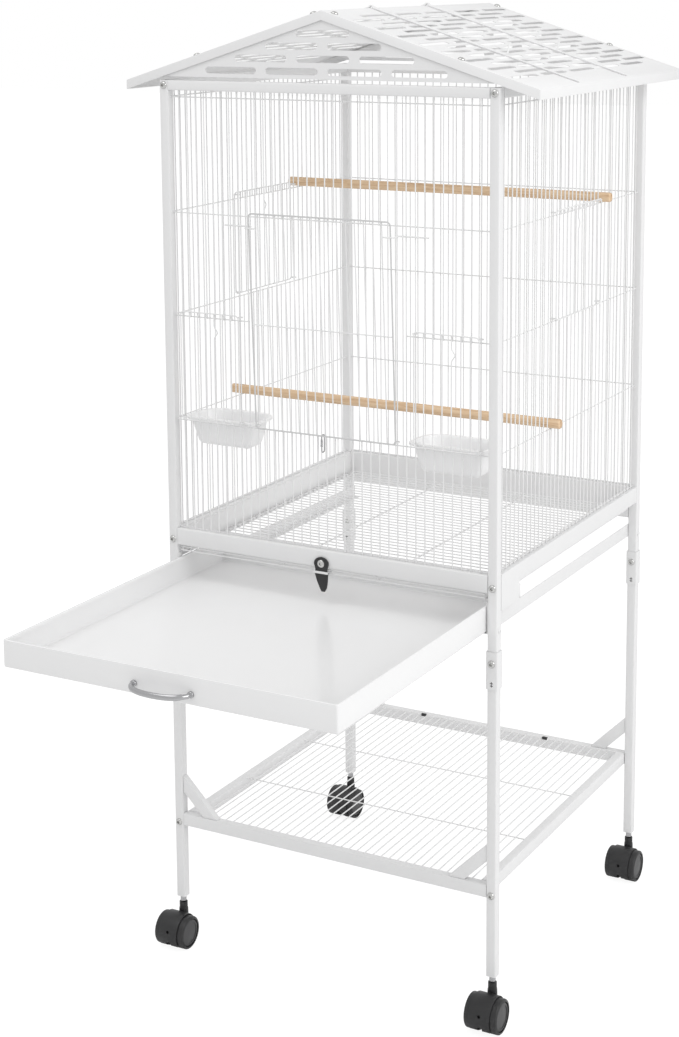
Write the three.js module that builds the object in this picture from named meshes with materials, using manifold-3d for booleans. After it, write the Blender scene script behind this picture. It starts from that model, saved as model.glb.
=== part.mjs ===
// A white wire bird cage with a gabled roof on a rolling stand, its litter tray pulled out at the front.
// Millimetres, +Z up, +X to the right of someone facing the front, +Y from front to back.
// Inside the cage group y = 0 is the front face of the corner posts and z = 0 is the floor.
import * as THREE from "three";
import { mergeVertices } from "three/addons/utils/BufferGeometryUtils.js";
import Module from "manifold-3d";

// Driving dimensions.
const WIDTH = 600; // over the corner posts
const DEPTH = 616;
const TUBE = 16; // square tube of posts, legs and top rails
const TUBE_WALL = 1.2;
const GAP = 0.3; // between pieces that touch
const LEG_BOTTOM = 82;
const POST_TOP = 1480;
const SOCKET_BOTTOM = 557; // swaged socket at the top of each leg, which takes the post
const SOCKET_TOP = 617;
const SOCKET_WALL = 1.5;

// Heights of the horizontal wires of the four walls, from the bottom up.
const WIRE_LEVELS = [739, 922, 1096, 1266, 1453];
const [FLOOR_WIRE, SILL_WIRE, MIDDLE_WIRE, HEAD_WIRE, TOP_WIRE] = WIRE_LEVELS;
const WIRE = 1.3; // half the diagonal of a wire's square section
const LAP = 2 * WIRE - 0.6; // distance between crossing wires, so that they sink into each other at the weld
const FRONT_PITCHES = 36; // wire pitches between the posts
const SIDE_PITCHES = 37;
const WALL_INSET = 7; // from the outer face of the frame to the upright wires

const BASE_TOP = 737; // tubes round the floor of the cage
const BASE_RAIL = 28;
const BACK_RAIL = 58;
const PLATE_LENGTH = 68; // corner plates beside the tray opening
const LEDGE_Z = 695; // ledge that carries the grate
const LEDGE_REACH = 12;

const TRAY = { width: 562, length: 600, height: 42, wall: 1.4, floor: 645.6, out: 466 };
const GUIDE = { bottom: 644, top: 667, lip: 12, sheet: 1.4, endLength: 11 };
const GRATE = { z: 696.7, halfWidth: 279, front: 2.5, back: 594, bars: [-276, -88, 88, 276] };
const SHELF = { bottom: 213, rail: 21, brace: 20, braceDepth: 12, braceRun: 53, bars: [188, 386] };
const ROOF = { halfWidth: 364.5, ridge: 1592, eave: 1479, sheet: 1.2, trim: 15, gableLift: 6 };
const SLOT = { length: 94, height: 11, pitch: 111, row: 19.5 };
const CASTER = { radius: 28, width: 55, trail: 22, web: 11, boss: 68, collar: 75 };
const PERCH = { radius: 8, reach: 310, slit: 3.4, slitDepth: 26, bevel: 4 };
const CUP = { x: 206, width: 138, depth: 82, height: 48, wall: 1.6, rim: 4, flange: 6 };
const LATCH = { x: -7, z: 716, head: [16, 10.5], tip: 46, sheet: 3 };
const HANDLE = { halfSpan: 48, z: 662, reach: 29, radius: 4 };
const DOOR_LEAN = 2.6; // degrees by which the lifting door leans out over the top rail
const DOOR_OFFSET = 4.6; // from the upright wires of a wall to those of a door in front of it
const FRONT_REACH = TRAY.out + GAP + HANDLE.reach + HANDLE.radius; // how far the pulled-out tray stands out
const BACK_REACH = DEPTH + GAP + SOCKET_WALL;

const wasm = await Module();
wasm.setup();

// Geometry helpers.

/** Turns a closed three.js geometry into a manifold-3d solid. */
function solid(geometry) {
  const bare = geometry.index ? geometry : geometry.clone();
  bare.deleteAttribute("normal");
  bare.deleteAttribute("uv");
  const merged = mergeVertices(bare, 1e-4);
  const vertProperties = new Float32Array(merged.attributes.position.array);
  const triVerts = new Uint32Array(merged.index.array);
  return new wasm.Manifold(new wasm.Mesh({ numProp: 3, vertProperties, triVerts }));
}

/** Turns a manifold-3d solid back into a geometry that can be drawn. */
function geometryOf(made) {
  const mesh = made.getMesh();
  const geometry = new THREE.BufferGeometry();
  geometry.setAttribute("position", new THREE.BufferAttribute(mesh.vertProperties, 3));
  geometry.setIndex(new THREE.BufferAttribute(mesh.triVerts, 1));
  geometry.computeVertexNormals();
  return geometry;
}

function join(solids) {
  return solids.reduce((sum, next) => sum.add(next));
}

/** A block between two corners. */
function block([x0, y0, z0], [x1, y1, z1]) {
  const box = new THREE.BoxGeometry(x1 - x0, y1 - y0, z1 - z0);
  return solid(box.translate((x0 + x1) / 2, (y0 + y1) / 2, (z0 + z1) / 2));
}

/** A square wire set on edge, from one end to the other along an axis. */
function wire(axis, from, to, [a, b], radius = WIRE) {
  const side = radius * Math.SQRT2;
  const bar = new THREE.BoxGeometry(side, side, to - from).rotateZ(Math.PI / 4);
  bar.translate(0, 0, (from + to) / 2);
  if (axis === "x") bar.rotateY(Math.PI / 2).translate(0, a, b);
  if (axis === "y") bar.rotateX(-Math.PI / 2).translate(a, 0, b);
  if (axis === "z") bar.translate(a, b, 0);
  return solid(bar);
}

function roundBar(radius, height, sides = 16) {
  return new THREE.CylinderGeometry(radius, radius, height, sides);
}

/** An outline in the x-z plane, made into a plate from y0 to y1. */
function plateXZ(points, y0, y1) {
  const shape = new THREE.Shape(points.map(([x, z]) => new THREE.Vector2(x, z)));
  const plate = new THREE.ExtrudeGeometry(shape, { depth: y1 - y0, bevelEnabled: false });
  return plate.rotateX(Math.PI / 2).translate(0, y1, 0);
}

/** An open-ended rectangular tube along an axis, between two corners. */
function tube(axis, low, high, wall = TUBE_WALL) {
  const along = "xyz".indexOf(axis);
  const innerLow = low.map((v, i) => (i === along ? v - 1 : v + wall));
  const innerHigh = high.map((v, i) => (i === along ? v + 1 : v - wall));
  return block(low, high).subtract(block(innerLow, innerHigh));
}

// Finishes.

function finish(color, roughness, metalness = 0) {
  return new THREE.MeshStandardMaterial({ color, roughness, metalness });
}

const FINISH = {
  whitePaint: () => finish(0xf2f2f0, 0.45, 0.1),
  trayPaint: () => finish(0xf5f5f4, 0.2, 0.1),
  cupPlastic: () => finish(0xf4f4f2, 0.3),
  chrome: () => finish(0xc8c8c8, 0.15, 1),
  blackPlastic: () => finish(0x1c1c1e, 0.5),
  beech: () => finish(0xd9ae80, 0.65),
};

const root = new THREE.Group();
const cage = new THREE.Group();
cage.position.set(0, (FRONT_REACH - BACK_REACH) / 2, 0); // the middle of the whole footprint, tray included
root.add(cage);

function add(parent, name, shape, material) {
  const geometry = shape.isBufferGeometry ? shape : geometryOf(shape);
  const mesh = new THREE.Mesh(geometry, material);
  mesh.name = name;
  parent.add(mesh);
  return mesh;
}

const CORNERS = [
  { name: "front_left", sx: -1, back: 0 },
  { name: "front_right", sx: 1, back: 0 },
  { name: "back_left", sx: -1, back: 1 },
  { name: "back_right", sx: 1, back: 1 },
];

function cornerAxis({ sx, back }) {
  const y = back ? DEPTH - TUBE / 2 : TUBE / 2;
  return [(sx * (WIDTH - TUBE)) / 2, y];
}

// Posts and legs.

function uprights() {
  const half = TUBE / 2;
  const outer = half + GAP + SOCKET_WALL;
  const joint = (SOCKET_BOTTOM + SOCKET_TOP) / 2;
  for (const corner of CORNERS) {
    const [x, y] = cornerAxis(corner);
    const post = tube("z", [x - half, y - half, joint + GAP], [x + half, y + half, POST_TOP]);
    add(cage, "post_" + corner.name, post, FINISH.whitePaint());
    const shank = tube("z", [x - half, y - half, LEG_BOTTOM], [x + half, y + half, joint]);
    const socket = tube(
      "z",
      [x - outer, y - outer, joint - 4],
      [x + outer, y + outer, SOCKET_TOP],
      SOCKET_WALL,
    );
    const skirt = tube("z", [x - outer, y - outer, SOCKET_BOTTOM], [x + outer, y + outer, joint - 2], outer - half + 0.2);
    add(cage, "leg_" + corner.name, join([shank, skirt, socket]), FINISH.whitePaint());
  }
}

// Top rails and the tubes round the floor.

function frameRails() {
  const innerX = WIDTH / 2 - TUBE - GAP;
  const nearY = TUBE + GAP;
  const farY = DEPTH - TUBE - GAP;
  const topZ = [POST_TOP - TUBE, POST_TOP];
  const rails = {
    top_rail_front: tube("x", [-innerX, 0, topZ[0]], [innerX, TUBE, topZ[1]]),
    top_rail_back: tube("x", [-innerX, DEPTH - TUBE, topZ[0]], [innerX, DEPTH, topZ[1]]),
    base_rail_front: tube("x", [-innerX, 0, BASE_TOP - BASE_RAIL], [innerX, TUBE, BASE_TOP]),
    base_rail_back: tube("x", [-innerX, DEPTH - TUBE, BASE_TOP - BACK_RAIL], [innerX, DEPTH, BASE_TOP]),
  };
  for (const [name, shape] of Object.entries(rails)) add(cage, name, shape, FINISH.whitePaint());

  for (const [side, sx] of [
    ["left", -1],
    ["right", 1],
  ]) {
    const inner = WIDTH / 2 - TUBE;
    const top = tube("y", [inner, nearY, topZ[0]], [WIDTH / 2, farY, topZ[1]]);
    const rail = tube("y", [inner, nearY, BASE_TOP - BASE_RAIL], [WIDTH / 2 - 1, farY, BASE_TOP]);
    const web = block([inner - 1.4, nearY, LEDGE_Z], [inner + 0.2, farY, BASE_TOP - 4]);
    const ledge = block([inner - LEDGE_REACH, nearY, LEDGE_Z], [inner, farY, LEDGE_Z + 1.4]);
    const plate = block([WIDTH / 2 - 1.4, nearY, BASE_TOP - BACK_RAIL], [WIDTH / 2, nearY + PLATE_LENGTH, BASE_TOP]);
    const mirror = (shape) => (sx > 0 ? shape : shape.mirror([1, 0, 0]));
    add(cage, "top_rail_" + side, mirror(top), FINISH.whitePaint());
    add(cage, "base_rail_" + side, mirror(join([rail, web, ledge, plate])), FINISH.whitePaint());

    const guideX = inner - GAP;
    const flange = block([guideX - GUIDE.sheet, 1, GUIDE.bottom], [guideX, DEPTH - 1, GUIDE.top]);
    const lip = block([guideX - GUIDE.lip, 1, GUIDE.bottom], [guideX, DEPTH - 1, GUIDE.bottom + GUIDE.sheet - GAP]);
    const end = block([guideX - GUIDE.sheet, 1, GUIDE.bottom], [guideX, GUIDE.endLength, LEDGE_Z - 2 * GAP]);
    add(cage, "tray_guide_" + side, mirror(join([flange, lip, end])), FINISH.whitePaint());
  }
}

// Walls: each is made flat, with u across it, n into the cage and z up.

/** Place across a wall of its wire number k, counted from one post to the other. */
function wirePlace(pitches, k) {
  const span = (pitches === FRONT_PITCHES ? WIDTH : DEPTH) - 2 * TUBE;
  return (k / pitches - 0.5) * span;
}

/**
 * A welded wire panel. An opening spans a range of uprights and of heights, and what lies inside it is left out.
 * The solid model carries every second upright, plus the two that bound each opening.
 */
function wirePanel(pitches, openings, cutWire) {
  const bounds = openings.flatMap(({ from, to }) => [from, to]);
  const pieces = [];
  for (let k = 1; k < pitches; k++) {
    if (k % 2 === 0 && !bounds.includes(k)) continue;
    const hole = openings.find(({ from, to }) => k > from && k < to);
    const low = [FLOOR_WIRE - WIRE, hole ? hole.low + WIRE : TOP_WIRE + WIRE];
    pieces.push(wire("z", ...low, [wirePlace(pitches, k), 0]));
    if (hole) pieces.push(wire("z", hole.high - WIRE, TOP_WIRE + WIRE, [wirePlace(pitches, k), 0]));
  }
  const reach = wirePlace(pitches, pitches) - GAP;
  for (const z of WIRE_LEVELS) {
    if (cutWire && z === cutWire.z) {
      pieces.push(wire("x", -reach, -cutWire.u, [LAP, z]), wire("x", cutWire.u, reach, [LAP, z]));
    } else {
      pieces.push(wire("x", -reach, reach, [LAP, z]));
    }
  }
  return join(pieces);
}

/** A loop of wire round an upright at u, on a door whose wires lie at n = out. */
function loop(u, z) {
  return tube("z", [u - 4.2, -DOOR_OFFSET, z - 1.2], [u + 4.2, 4.2, z + 1.2], 1.8);
}

/** A door of crossed wires in front of its opening; kink is the wire bent aside as a finger grip. */
function wireDoor({ pitches, from, to, low, high, bars = [], kink, every = 2 }) {
  const foot = low + 3;
  const head = high + 9;
  const left = wirePlace(pitches, from);
  const right = wirePlace(pitches, to);
  const across = (z) => wire("x", left - WIRE, right + WIRE, [-DOOR_OFFSET - LAP, z]);
  const pieces = [foot, ...bars, head].map(across);
  const upright = (u, z0, z1) => pieces.push(wire("z", z0, z1, [u, -DOOR_OFFSET]));
  for (const u of [left, right]) upright(u, foot - WIRE, head + WIRE);
  for (let k = from + every; k < to; k += every) {
    if (k !== kink) upright(wirePlace(pitches, k), foot - WIRE, head + WIRE);
  }
  if (kink !== undefined) {
    const u = wirePlace(pitches, kink);
    const [bottom, top, aside] = [high - 30, high - 14, 7];
    upright(u, foot - WIRE, bottom);
    upright(u, top, head + WIRE);
    upright(u + aside, bottom - 1, top + 1);
    for (const z of [bottom, top]) pieces.push(wire("x", u - WIRE, u + aside + WIRE, [-DOOR_OFFSET, z], 0.98 * WIRE));
    for (const z of [low + 6, high + 6]) pieces.push(loop(left, z), loop(right, z));
  }
  return join(pieces);
}

const MAIN_DOOR = { pitches: FRONT_PITCHES, from: 10, to: 26, low: SILL_WIRE, high: HEAD_WIRE };
const FEEDER_DOORS = {
  left: { pitches: FRONT_PITCHES, from: 1, to: 8, low: SILL_WIRE, high: MIDDLE_WIRE, kink: 5 },
  right: { pitches: FRONT_PITCHES, from: 28, to: 35, low: SILL_WIRE, high: MIDDLE_WIRE, kink: 32 },
};
const NEST_DOOR = { pitches: SIDE_PITCHES, from: 13, to: 25, low: MIDDLE_WIRE, high: HEAD_WIRE, kink: 19 };

/** The right-hand hook on the front wall that holds the leaning door's side wires from outside. */
function doorGuide() {
  const z = HEAD_WIRE - 15;
  const n = -2 * WIRE - GAP;
  const bar = wirePlace(FRONT_PITCHES, MAIN_DOOR.to);
  const [bend, start, tip, out] = [bar + 6, bar + 56, bar - 12, -25];
  return join([
    wire("x", bend - WIRE, start, [n, z]),
    wire("y", out - WIRE, n + WIRE, [bend, z], 0.98 * WIRE),
    wire("x", tip, bend + WIRE, [out, z]),
  ]);
}

function walls() {
  const wallFrame = (x, y, turn) => {
    const group = new THREE.Group();
    group.position.set(x, y, 0);
    group.rotation.z = turn;
    cage.add(group);
    return group;
  };
  const sideX = WIDTH / 2 - WALL_INSET;
  const front = wallFrame(0, WALL_INSET, 0);
  const back = wallFrame(0, DEPTH - WALL_INSET, Math.PI);
  const right = wallFrame(sideX, DEPTH / 2, Math.PI / 2);
  const left = wallFrame(-sideX, DEPTH / 2, -Math.PI / 2);
  const mirrored = (shape) => shape.mirror([1, 0, 0]);

  const cutWire = { z: MIDDLE_WIRE, u: wirePlace(FRONT_PITCHES, MAIN_DOOR.to + 1) - WIRE };
  const frontPanel = wirePanel(FRONT_PITCHES, [MAIN_DOOR, ...Object.values(FEEDER_DOORS)], cutWire);
  const sidePanel = wirePanel(SIDE_PITCHES, [NEST_DOOR]);
  add(front, "wall_front", frontPanel, FINISH.whitePaint());
  add(front, "door_guide_right", doorGuide(), FINISH.whitePaint());
  add(front, "door_guide_left", mirrored(doorGuide()), FINISH.whitePaint());
  add(back, "wall_back", wirePanel(FRONT_PITCHES, []), FINISH.whitePaint());
  add(right, "wall_right", sidePanel, FINISH.whitePaint());
  add(left, "wall_left", mirrored(sidePanel), FINISH.whitePaint());

  const leaning = wireDoor({ ...MAIN_DOOR, bars: [MIDDLE_WIRE] })
    .translate([0, 0, -SILL_WIRE])
    .rotate([DOOR_LEAN, 0, 0])
    .translate([0, 0, SILL_WIRE]);
  const feet = [MAIN_DOOR.from, MAIN_DOOR.to].map((k) => loop(wirePlace(FRONT_PITCHES, k), SILL_WIRE + 6));
  add(front, "main_door", join([leaning, ...feet]), FINISH.whitePaint());

  for (const [side, door] of Object.entries(FEEDER_DOORS)) {
    add(front, "feeder_door_" + side, wireDoor(door), FINISH.whitePaint());
  }
  const nestDoor = wireDoor(NEST_DOOR);
  add(right, "nest_door_right", nestDoor, FINISH.whitePaint());
  add(left, "nest_door_left", mirrored(nestDoor), FINISH.whitePaint());
}

// Roof: two folded sheets that meet at the ridge, with a slotted gable hung under each end.

function roof() {
  const rise = ROOF.ridge - ROOF.eave;
  const slope = THREE.MathUtils.radToDeg(Math.atan2(rise, ROOF.halfWidth));
  const run = Math.hypot(rise, ROOF.halfWidth);
  const drop = (ROOF.sheet * run) / ROOF.halfWidth;

  const slots = [];
  for (let row = 0; row < 6; row++) {
    const u = 30 + row * 3 * SLOT.row; // the solid model carries every third row of slots
    const shift = (row % 2 ? -1 : 1) * (SLOT.pitch / 4);
    for (const k of [-2, -1, 0, 1, 2]) {
      const v = DEPTH / 2 + k * SLOT.pitch + shift;
      slots.push(block([u, v - SLOT.length / 2, -9], [u + SLOT.height, v + SLOT.length / 2, 9]));
    }
  }
  const sheet = block([0, 0, -ROOF.sheet], [run, DEPTH, 0])
    .subtract(join(slots))
    .rotate([0, slope, 0])
    .translate([0, 0, ROOF.ridge])
    .subtract(block([-50, -9, ROOF.ridge - 50], [GAP / 2, DEPTH + 9, ROOF.ridge + 50]));

  const outline = [
    [GAP / 2, ROOF.ridge - drop / 2 - ROOF.trim],
    [ROOF.halfWidth, ROOF.eave - ROOF.trim],
    [ROOF.halfWidth, ROOF.eave - drop / 2],
    [GAP / 2, ROOF.ridge - drop / 2],
  ];
  const trims = [0, DEPTH - ROOF.sheet].map((y) => solid(plateXZ(outline, y, y + ROOF.sheet)));
  const eaveTrim = block(
    [ROOF.halfWidth - ROOF.sheet, 0, ROOF.eave - ROOF.trim],
    [ROOF.halfWidth, DEPTH, ROOF.eave - drop / 2],
  );
  const panel = join([sheet, ...trims, eaveTrim]);
  add(cage, "roof_panel_right", panel, FINISH.whitePaint());
  add(cage, "roof_panel_left", panel.mirror([1, 0, 0]), FINISH.whitePaint());

  const foot = POST_TOP + ROOF.gableLift;
  const top = ROOF.ridge - drop - 1;
  const halfBase = ((top - foot) * ROOF.halfWidth) / rise;
  const triangle = [
    [-halfBase, foot],
    [halfBase, foot],
    [0, top],
  ];
  const holes = [4, 3, 2, 1].flatMap((count, row) => {
    const z = foot + 6 + row * SLOT.row;
    return Array.from({ length: count }, (_, i) => {
      const x = (i - (count - 1) / 2) * SLOT.pitch;
      return block([x - SLOT.length / 2, -9, z], [x + SLOT.length / 2, DEPTH + 9, z + SLOT.height]);
    });
  });
  for (const [name, y] of [
    ["gable_front", 3],
    ["gable_back", DEPTH - 3 - ROOF.sheet],
  ]) {
    add(cage, name, solid(plateXZ(triangle, y, y + ROOF.sheet)).subtract(join(holes)), FINISH.whitePaint());
  }
}

// Tray, its handle, the grate above it and the latch.

function trayAndHandle() {
  const half = TRAY.width / 2;
  const near = -TRAY.out;
  const far = near + TRAY.length;
  const top = TRAY.floor + TRAY.height;
  const outer = block([-half, near, TRAY.floor], [half, far, top]);
  const hollow = block(
    [-half + TRAY.wall, near + TRAY.wall, TRAY.floor + TRAY.wall],
    [half - TRAY.wall, far - TRAY.wall, top + 1],
  );
  add(cage, "tray", outer.subtract(hollow), FINISH.trayPaint());

  const foot = near - GAP;
  const rightHalf = [
    [0, HANDLE.reach],
    [HANDLE.halfSpan * 0.5, HANDLE.reach - 3],
    [HANDLE.halfSpan * 0.82, HANDLE.reach - 10],
    [HANDLE.halfSpan, 9],
    [HANDLE.halfSpan, -3],
  ];
  const leftHalf = rightHalf.slice(1).map(([x, out]) => [-x, out]);
  const bow = new THREE.CatmullRomCurve3(
    [...leftHalf.reverse(), ...rightHalf].map(([x, out]) => new THREE.Vector3(x, foot - out, HANDLE.z)),
  );
  const section = new THREE.Shape().absarc(0, 0, HANDLE.radius, 0, 2 * Math.PI);
  const bar = new THREE.ExtrudeGeometry(section, { extrudePath: bow, steps: 18, curveSegments: 5 });
  const inside = block([-100, foot, HANDLE.z - 50], [100, foot + 20, HANDLE.z + 50]);
  add(cage, "tray_handle", solid(bar).subtract(inside), FINISH.chrome());
}

function grate() {
  const pieces = [];
  const rows = 20; // the solid model carries every second wire across
  for (let i = 0; i < rows; i++) {
    const y = GRATE.front + WIRE + ((GRATE.back - GRATE.front - 2 * WIRE) * i) / (rows - 1);
    pieces.push(wire("x", -GRATE.halfWidth, GRATE.halfWidth, [y, GRATE.z + WIRE + LAP]));
  }
  for (const x of GRATE.bars) pieces.push(wire("y", GRATE.front, GRATE.back, [x, GRATE.z + WIRE]));
  add(cage, "grate", join(pieces), FINISH.whitePaint());
}

function latch() {
  const [halfWidth, halfHeight] = LATCH.head;
  const outline = [];
  for (let degrees = -50; degrees <= 230; degrees += 20) {
    const angle = THREE.MathUtils.degToRad(degrees);
    outline.push([halfWidth * Math.cos(angle), halfHeight * Math.sin(angle)]);
  }
  outline.push([-4.5, -13], [-4.5, -LATCH.tip + 9], [1, -LATCH.tip], [6.5, -LATCH.tip + 9], [6.5, -13]);
  const back = -GAP;
  const front = back - LATCH.sheet;
  const plate = plateXZ(outline, front, back).translate(LATCH.x, 0, LATCH.z);
  add(cage, "latch", plate, FINISH.blackPlastic());
  const screw = roundBar(3.4, 1.6, 12).translate(LATCH.x, front - GAP - 0.8, LATCH.z);
  add(cage, "latch_screw", screw, FINISH.chrome());
}

// Shelf of the stand, with a brace to each leg.

function shelf() {
  const low = SHELF.bottom;
  const high = low + SHELF.rail;
  const inner = WIDTH / 2 - TUBE - GAP;
  const sideRail = tube("y", [inner - TUBE, TUBE + GAP, low], [inner, DEPTH - TUBE - GAP, high]);
  const rails = {
    front: tube("x", [-inner, 0.5, low], [inner, TUBE, high]),
    back: tube("x", [-inner, DEPTH - TUBE, low], [inner, DEPTH - 0.5, high]),
    left: sideRail.mirror([1, 0, 0]),
    right: sideRail,
  };
  for (const [side, shape] of Object.entries(rails)) add(cage, "shelf_rail_" + side, shape, FINISH.whitePaint());

  const pieces = [];
  const count = 17; // the solid model carries every second wire
  const reach = inner - TUBE - GAP;
  for (let k = 1; k <= count; k++) {
    const x = (k / (count + 1) - 0.5) * 2 * reach;
    pieces.push(wire("y", TUBE + GAP, DEPTH - TUBE - GAP, [x, high - 1.5]));
  }
  for (const y of SHELF.bars) pieces.push(wire("x", -reach, reach, [y, high - 1.5 - LAP]));
  add(cage, "shelf_grille", join(pieces), FINISH.whitePaint());

  const foot = inner - SHELF.braceRun;
  const across = SHELF.brace / Math.SQRT2;
  const floor = high + GAP;
  const outline = [
    [foot - across, floor],
    [foot + across, floor],
    [inner, floor + SHELF.braceRun - across],
    [inner, floor + SHELF.braceRun + across],
  ];
  for (const corner of CORNERS) {
    const [, y] = cornerAxis(corner);
    const brace = solid(plateXZ(outline, y - SHELF.braceDepth / 2, y + SHELF.braceDepth / 2));
    add(cage, "brace_" + corner.name, corner.sx > 0 ? brace : brace.mirror([1, 0, 0]), FINISH.whitePaint());
  }
}

// Perches, cups and the spring clip.

/** A dowel along x with bevelled ends, each slit to straddle an upright wire of a side wall. */
function perch(name, wireNumber, level) {
  const { radius, reach, bevel, slit, slitDepth } = PERCH;
  const profile = [
    [0, -reach],
    [radius - 2.5, -reach],
    [radius, -reach + bevel],
    [radius, reach - bevel],
    [radius - 2.5, reach],
    [0, reach],
  ].map(([r, h]) => new THREE.Vector2(r, h));
  const slits = [-1, 1].map((end) => {
    const middle = end * (reach - slitDepth / 2 + 1);
    return block([middle - slitDepth / 2, -slit / 2, -20], [middle + slitDepth / 2, slit / 2, 20]);
  });
  const dowel = solid(new THREE.LatheGeometry(profile, 16).rotateZ(Math.PI / 2)).subtract(join(slits));
  const mesh = add(cage, name, dowel, FINISH.beech());
  const y = DEPTH / 2 + wirePlace(SIDE_PITCHES, wireNumber);
  mesh.position.set(0, y, level + WIRE + GAP + radius);
}

/** A block with a flat front and a rounded back, the outline of a hanging cup. */
function cupBlock(width, front, back, low, high) {
  const points = [new THREE.Vector2(width / 2, front)];
  const shoulder = front + 12;
  const steps = 12;
  const squareness = 0.6;
  for (let i = 0; i <= steps; i++) {
    const angle = (Math.PI * i) / steps;
    const x = Math.sign(Math.cos(angle)) * Math.abs(Math.cos(angle)) ** squareness * (width / 2);
    points.push(new THREE.Vector2(x, shoulder + Math.sin(angle) ** squareness * (back - shoulder)));
  }
  points.push(new THREE.Vector2(-width / 2, front));
  const shape = new THREE.Shape(points);
  return solid(new THREE.ExtrudeGeometry(shape, { depth: high - low, bevelEnabled: false }).translate(0, 0, low));
}

function cups() {
  const { width, depth, height, wall, rim, flange } = CUP;
  const front = WALL_INSET + LAP + WIRE + 2;
  const top = SILL_WIRE + 5;
  const cup = cupBlock(width - 2 * flange, 0, depth - flange, top - height, top)
    .add(cupBlock(width, 0, depth, top - rim, top))
    .subtract(cupBlock(width - 2 * flange - 2 * wall, wall, depth - flange - wall, top - height + wall, top + 1));
  for (const [side, sx] of [
    ["left", -1],
    ["right", 1],
  ]) {
    const mesh = add(cage, "feeder_cup_" + side, cup, FINISH.cupPlastic());
    mesh.position.set(sx * CUP.x, front, 0);
  }
}

/** A long ring that hangs on the wire below the lifting door. */
function snapHook() {
  const [outer, inner, length] = [5.5, 3.4, 19.5];
  const ringPath = (Path, radius) => new Path().absarc(0, 0, radius, 0, Math.PI).absarc(0, -length, radius, Math.PI, 2 * Math.PI);
  const ring = ringPath(THREE.Shape, outer);
  ring.holes.push(ringPath(THREE.Path, inner));
  const link = new THREE.ExtrudeGeometry(ring, { depth: 2, bevelEnabled: false, curveSegments: 6 });
  link.translate(0, 0, -1).rotateX(Math.PI / 2).rotateZ(Math.PI / 2);
  const mesh = add(cage, "snap_hook", link, FINISH.chrome());
  mesh.position.set(-8, WALL_INSET + LAP, SILL_WIRE + WIRE + GAP - inner);
}

// Casters: a body that swivels on a stem in the leg, and a pair of wheels on one axle.

function casters() {
  const { radius, width, trail, web, boss, collar } = CASTER;
  const hoodOutline = [];
  for (let degrees = 60; degrees <= 300; degrees += 20) {
    const angle = THREE.MathUtils.degToRad(degrees);
    hoodOutline.push([-trail + (radius - 3) * Math.cos(angle), radius + (radius - 3) * Math.sin(angle)]);
  }
  const hood = plateXZ([...hoodOutline, [-trail + 12, 20], [6, 48], [6, boss - 6], [-14, boss - 6]], -web / 2, web / 2);
  const upright = (r, low, high, sides) => {
    return solid(roundBar(r, high - low, sides).rotateX(Math.PI / 2).translate(0, 0, (low + high) / 2));
  };
  const axleHole = roundBar(3.4, web + 2, 12).rotateZ(Math.PI / 2).translate(0, -trail, radius);
  const body = join([
    solid(hood.rotateZ(Math.PI / 2)),
    upright(8, boss - 13, boss, 16),
    upright(9.5, boss - 1, collar, 16),
    upright(5, collar - 1, LEG_BOTTOM + 2, 12),
    upright(6.5, LEG_BOTTOM + 1, LEG_BOTTOM + 30, 12),
  ]).subtract(solid(axleHole));

  const inner = web / 2 + 0.5;
  const outer = width / 2;
  const profile = [
    [0, inner],
    [radius, inner],
    [radius, outer - 4],
    [radius - 4, outer],
    [0, outer],
  ].map(([r, h]) => new THREE.Vector2(r, h));
  const wheel = () => new THREE.LatheGeometry(profile, 18);
  const pair = join([solid(wheel()), solid(wheel().rotateX(Math.PI)), solid(roundBar(3, 2 * inner + 2, 12))]);

  for (const corner of CORNERS) {
    const [x, y] = cornerAxis(corner);
    const swivel = new THREE.Group();
    swivel.position.set(x, y, 0);
    cage.add(swivel);
    add(swivel, "caster_body_" + corner.name, body, FINISH.blackPlastic());
    const wheels = add(swivel, "caster_wheels_" + corner.name, pair, FINISH.blackPlastic());
    wheels.rotation.z = Math.PI / 2;
    wheels.position.set(0, -trail, radius);
  }
}

uprights();
frameRails();
walls();
roof();
trayAndHandle();
grate();
latch();
shelf();
perch("perch_upper", 26, HEAD_WIRE);
perch("perch_lower", 13, SILL_WIRE);
cups();
snapHook();
casters();

export default root;
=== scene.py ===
"""A white wire bird cage with a gabled roof on a rolling stand, its litter tray pulled out at the front."""

import logging
import math
from collections.abc import Callable, Iterable, Sequence
from dataclasses import dataclass, field
from enum import Enum

import bmesh
import bpy
from bpy.types import Material, Object
from mathutils import Matrix, Vector


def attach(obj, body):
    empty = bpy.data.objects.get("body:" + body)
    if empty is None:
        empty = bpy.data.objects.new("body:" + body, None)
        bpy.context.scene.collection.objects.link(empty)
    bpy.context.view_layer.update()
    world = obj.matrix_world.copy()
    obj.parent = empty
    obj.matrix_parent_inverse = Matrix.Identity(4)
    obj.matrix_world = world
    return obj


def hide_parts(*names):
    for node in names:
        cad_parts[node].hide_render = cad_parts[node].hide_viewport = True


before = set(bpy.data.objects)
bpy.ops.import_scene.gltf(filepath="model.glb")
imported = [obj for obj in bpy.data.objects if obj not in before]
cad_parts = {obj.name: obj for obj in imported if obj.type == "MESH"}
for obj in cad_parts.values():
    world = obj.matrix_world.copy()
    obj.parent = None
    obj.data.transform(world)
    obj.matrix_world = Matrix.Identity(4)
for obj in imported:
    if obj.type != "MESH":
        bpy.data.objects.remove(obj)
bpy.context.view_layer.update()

LOG = logging.getLogger("bird_cage")

# Pieces are modelled in millimetres, with y = 0 at the front face of the corner posts, and settled in metres.
MM = 0.001
CAGE_SHIFT = -59.25
STAND = "cage_and_stand"

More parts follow.
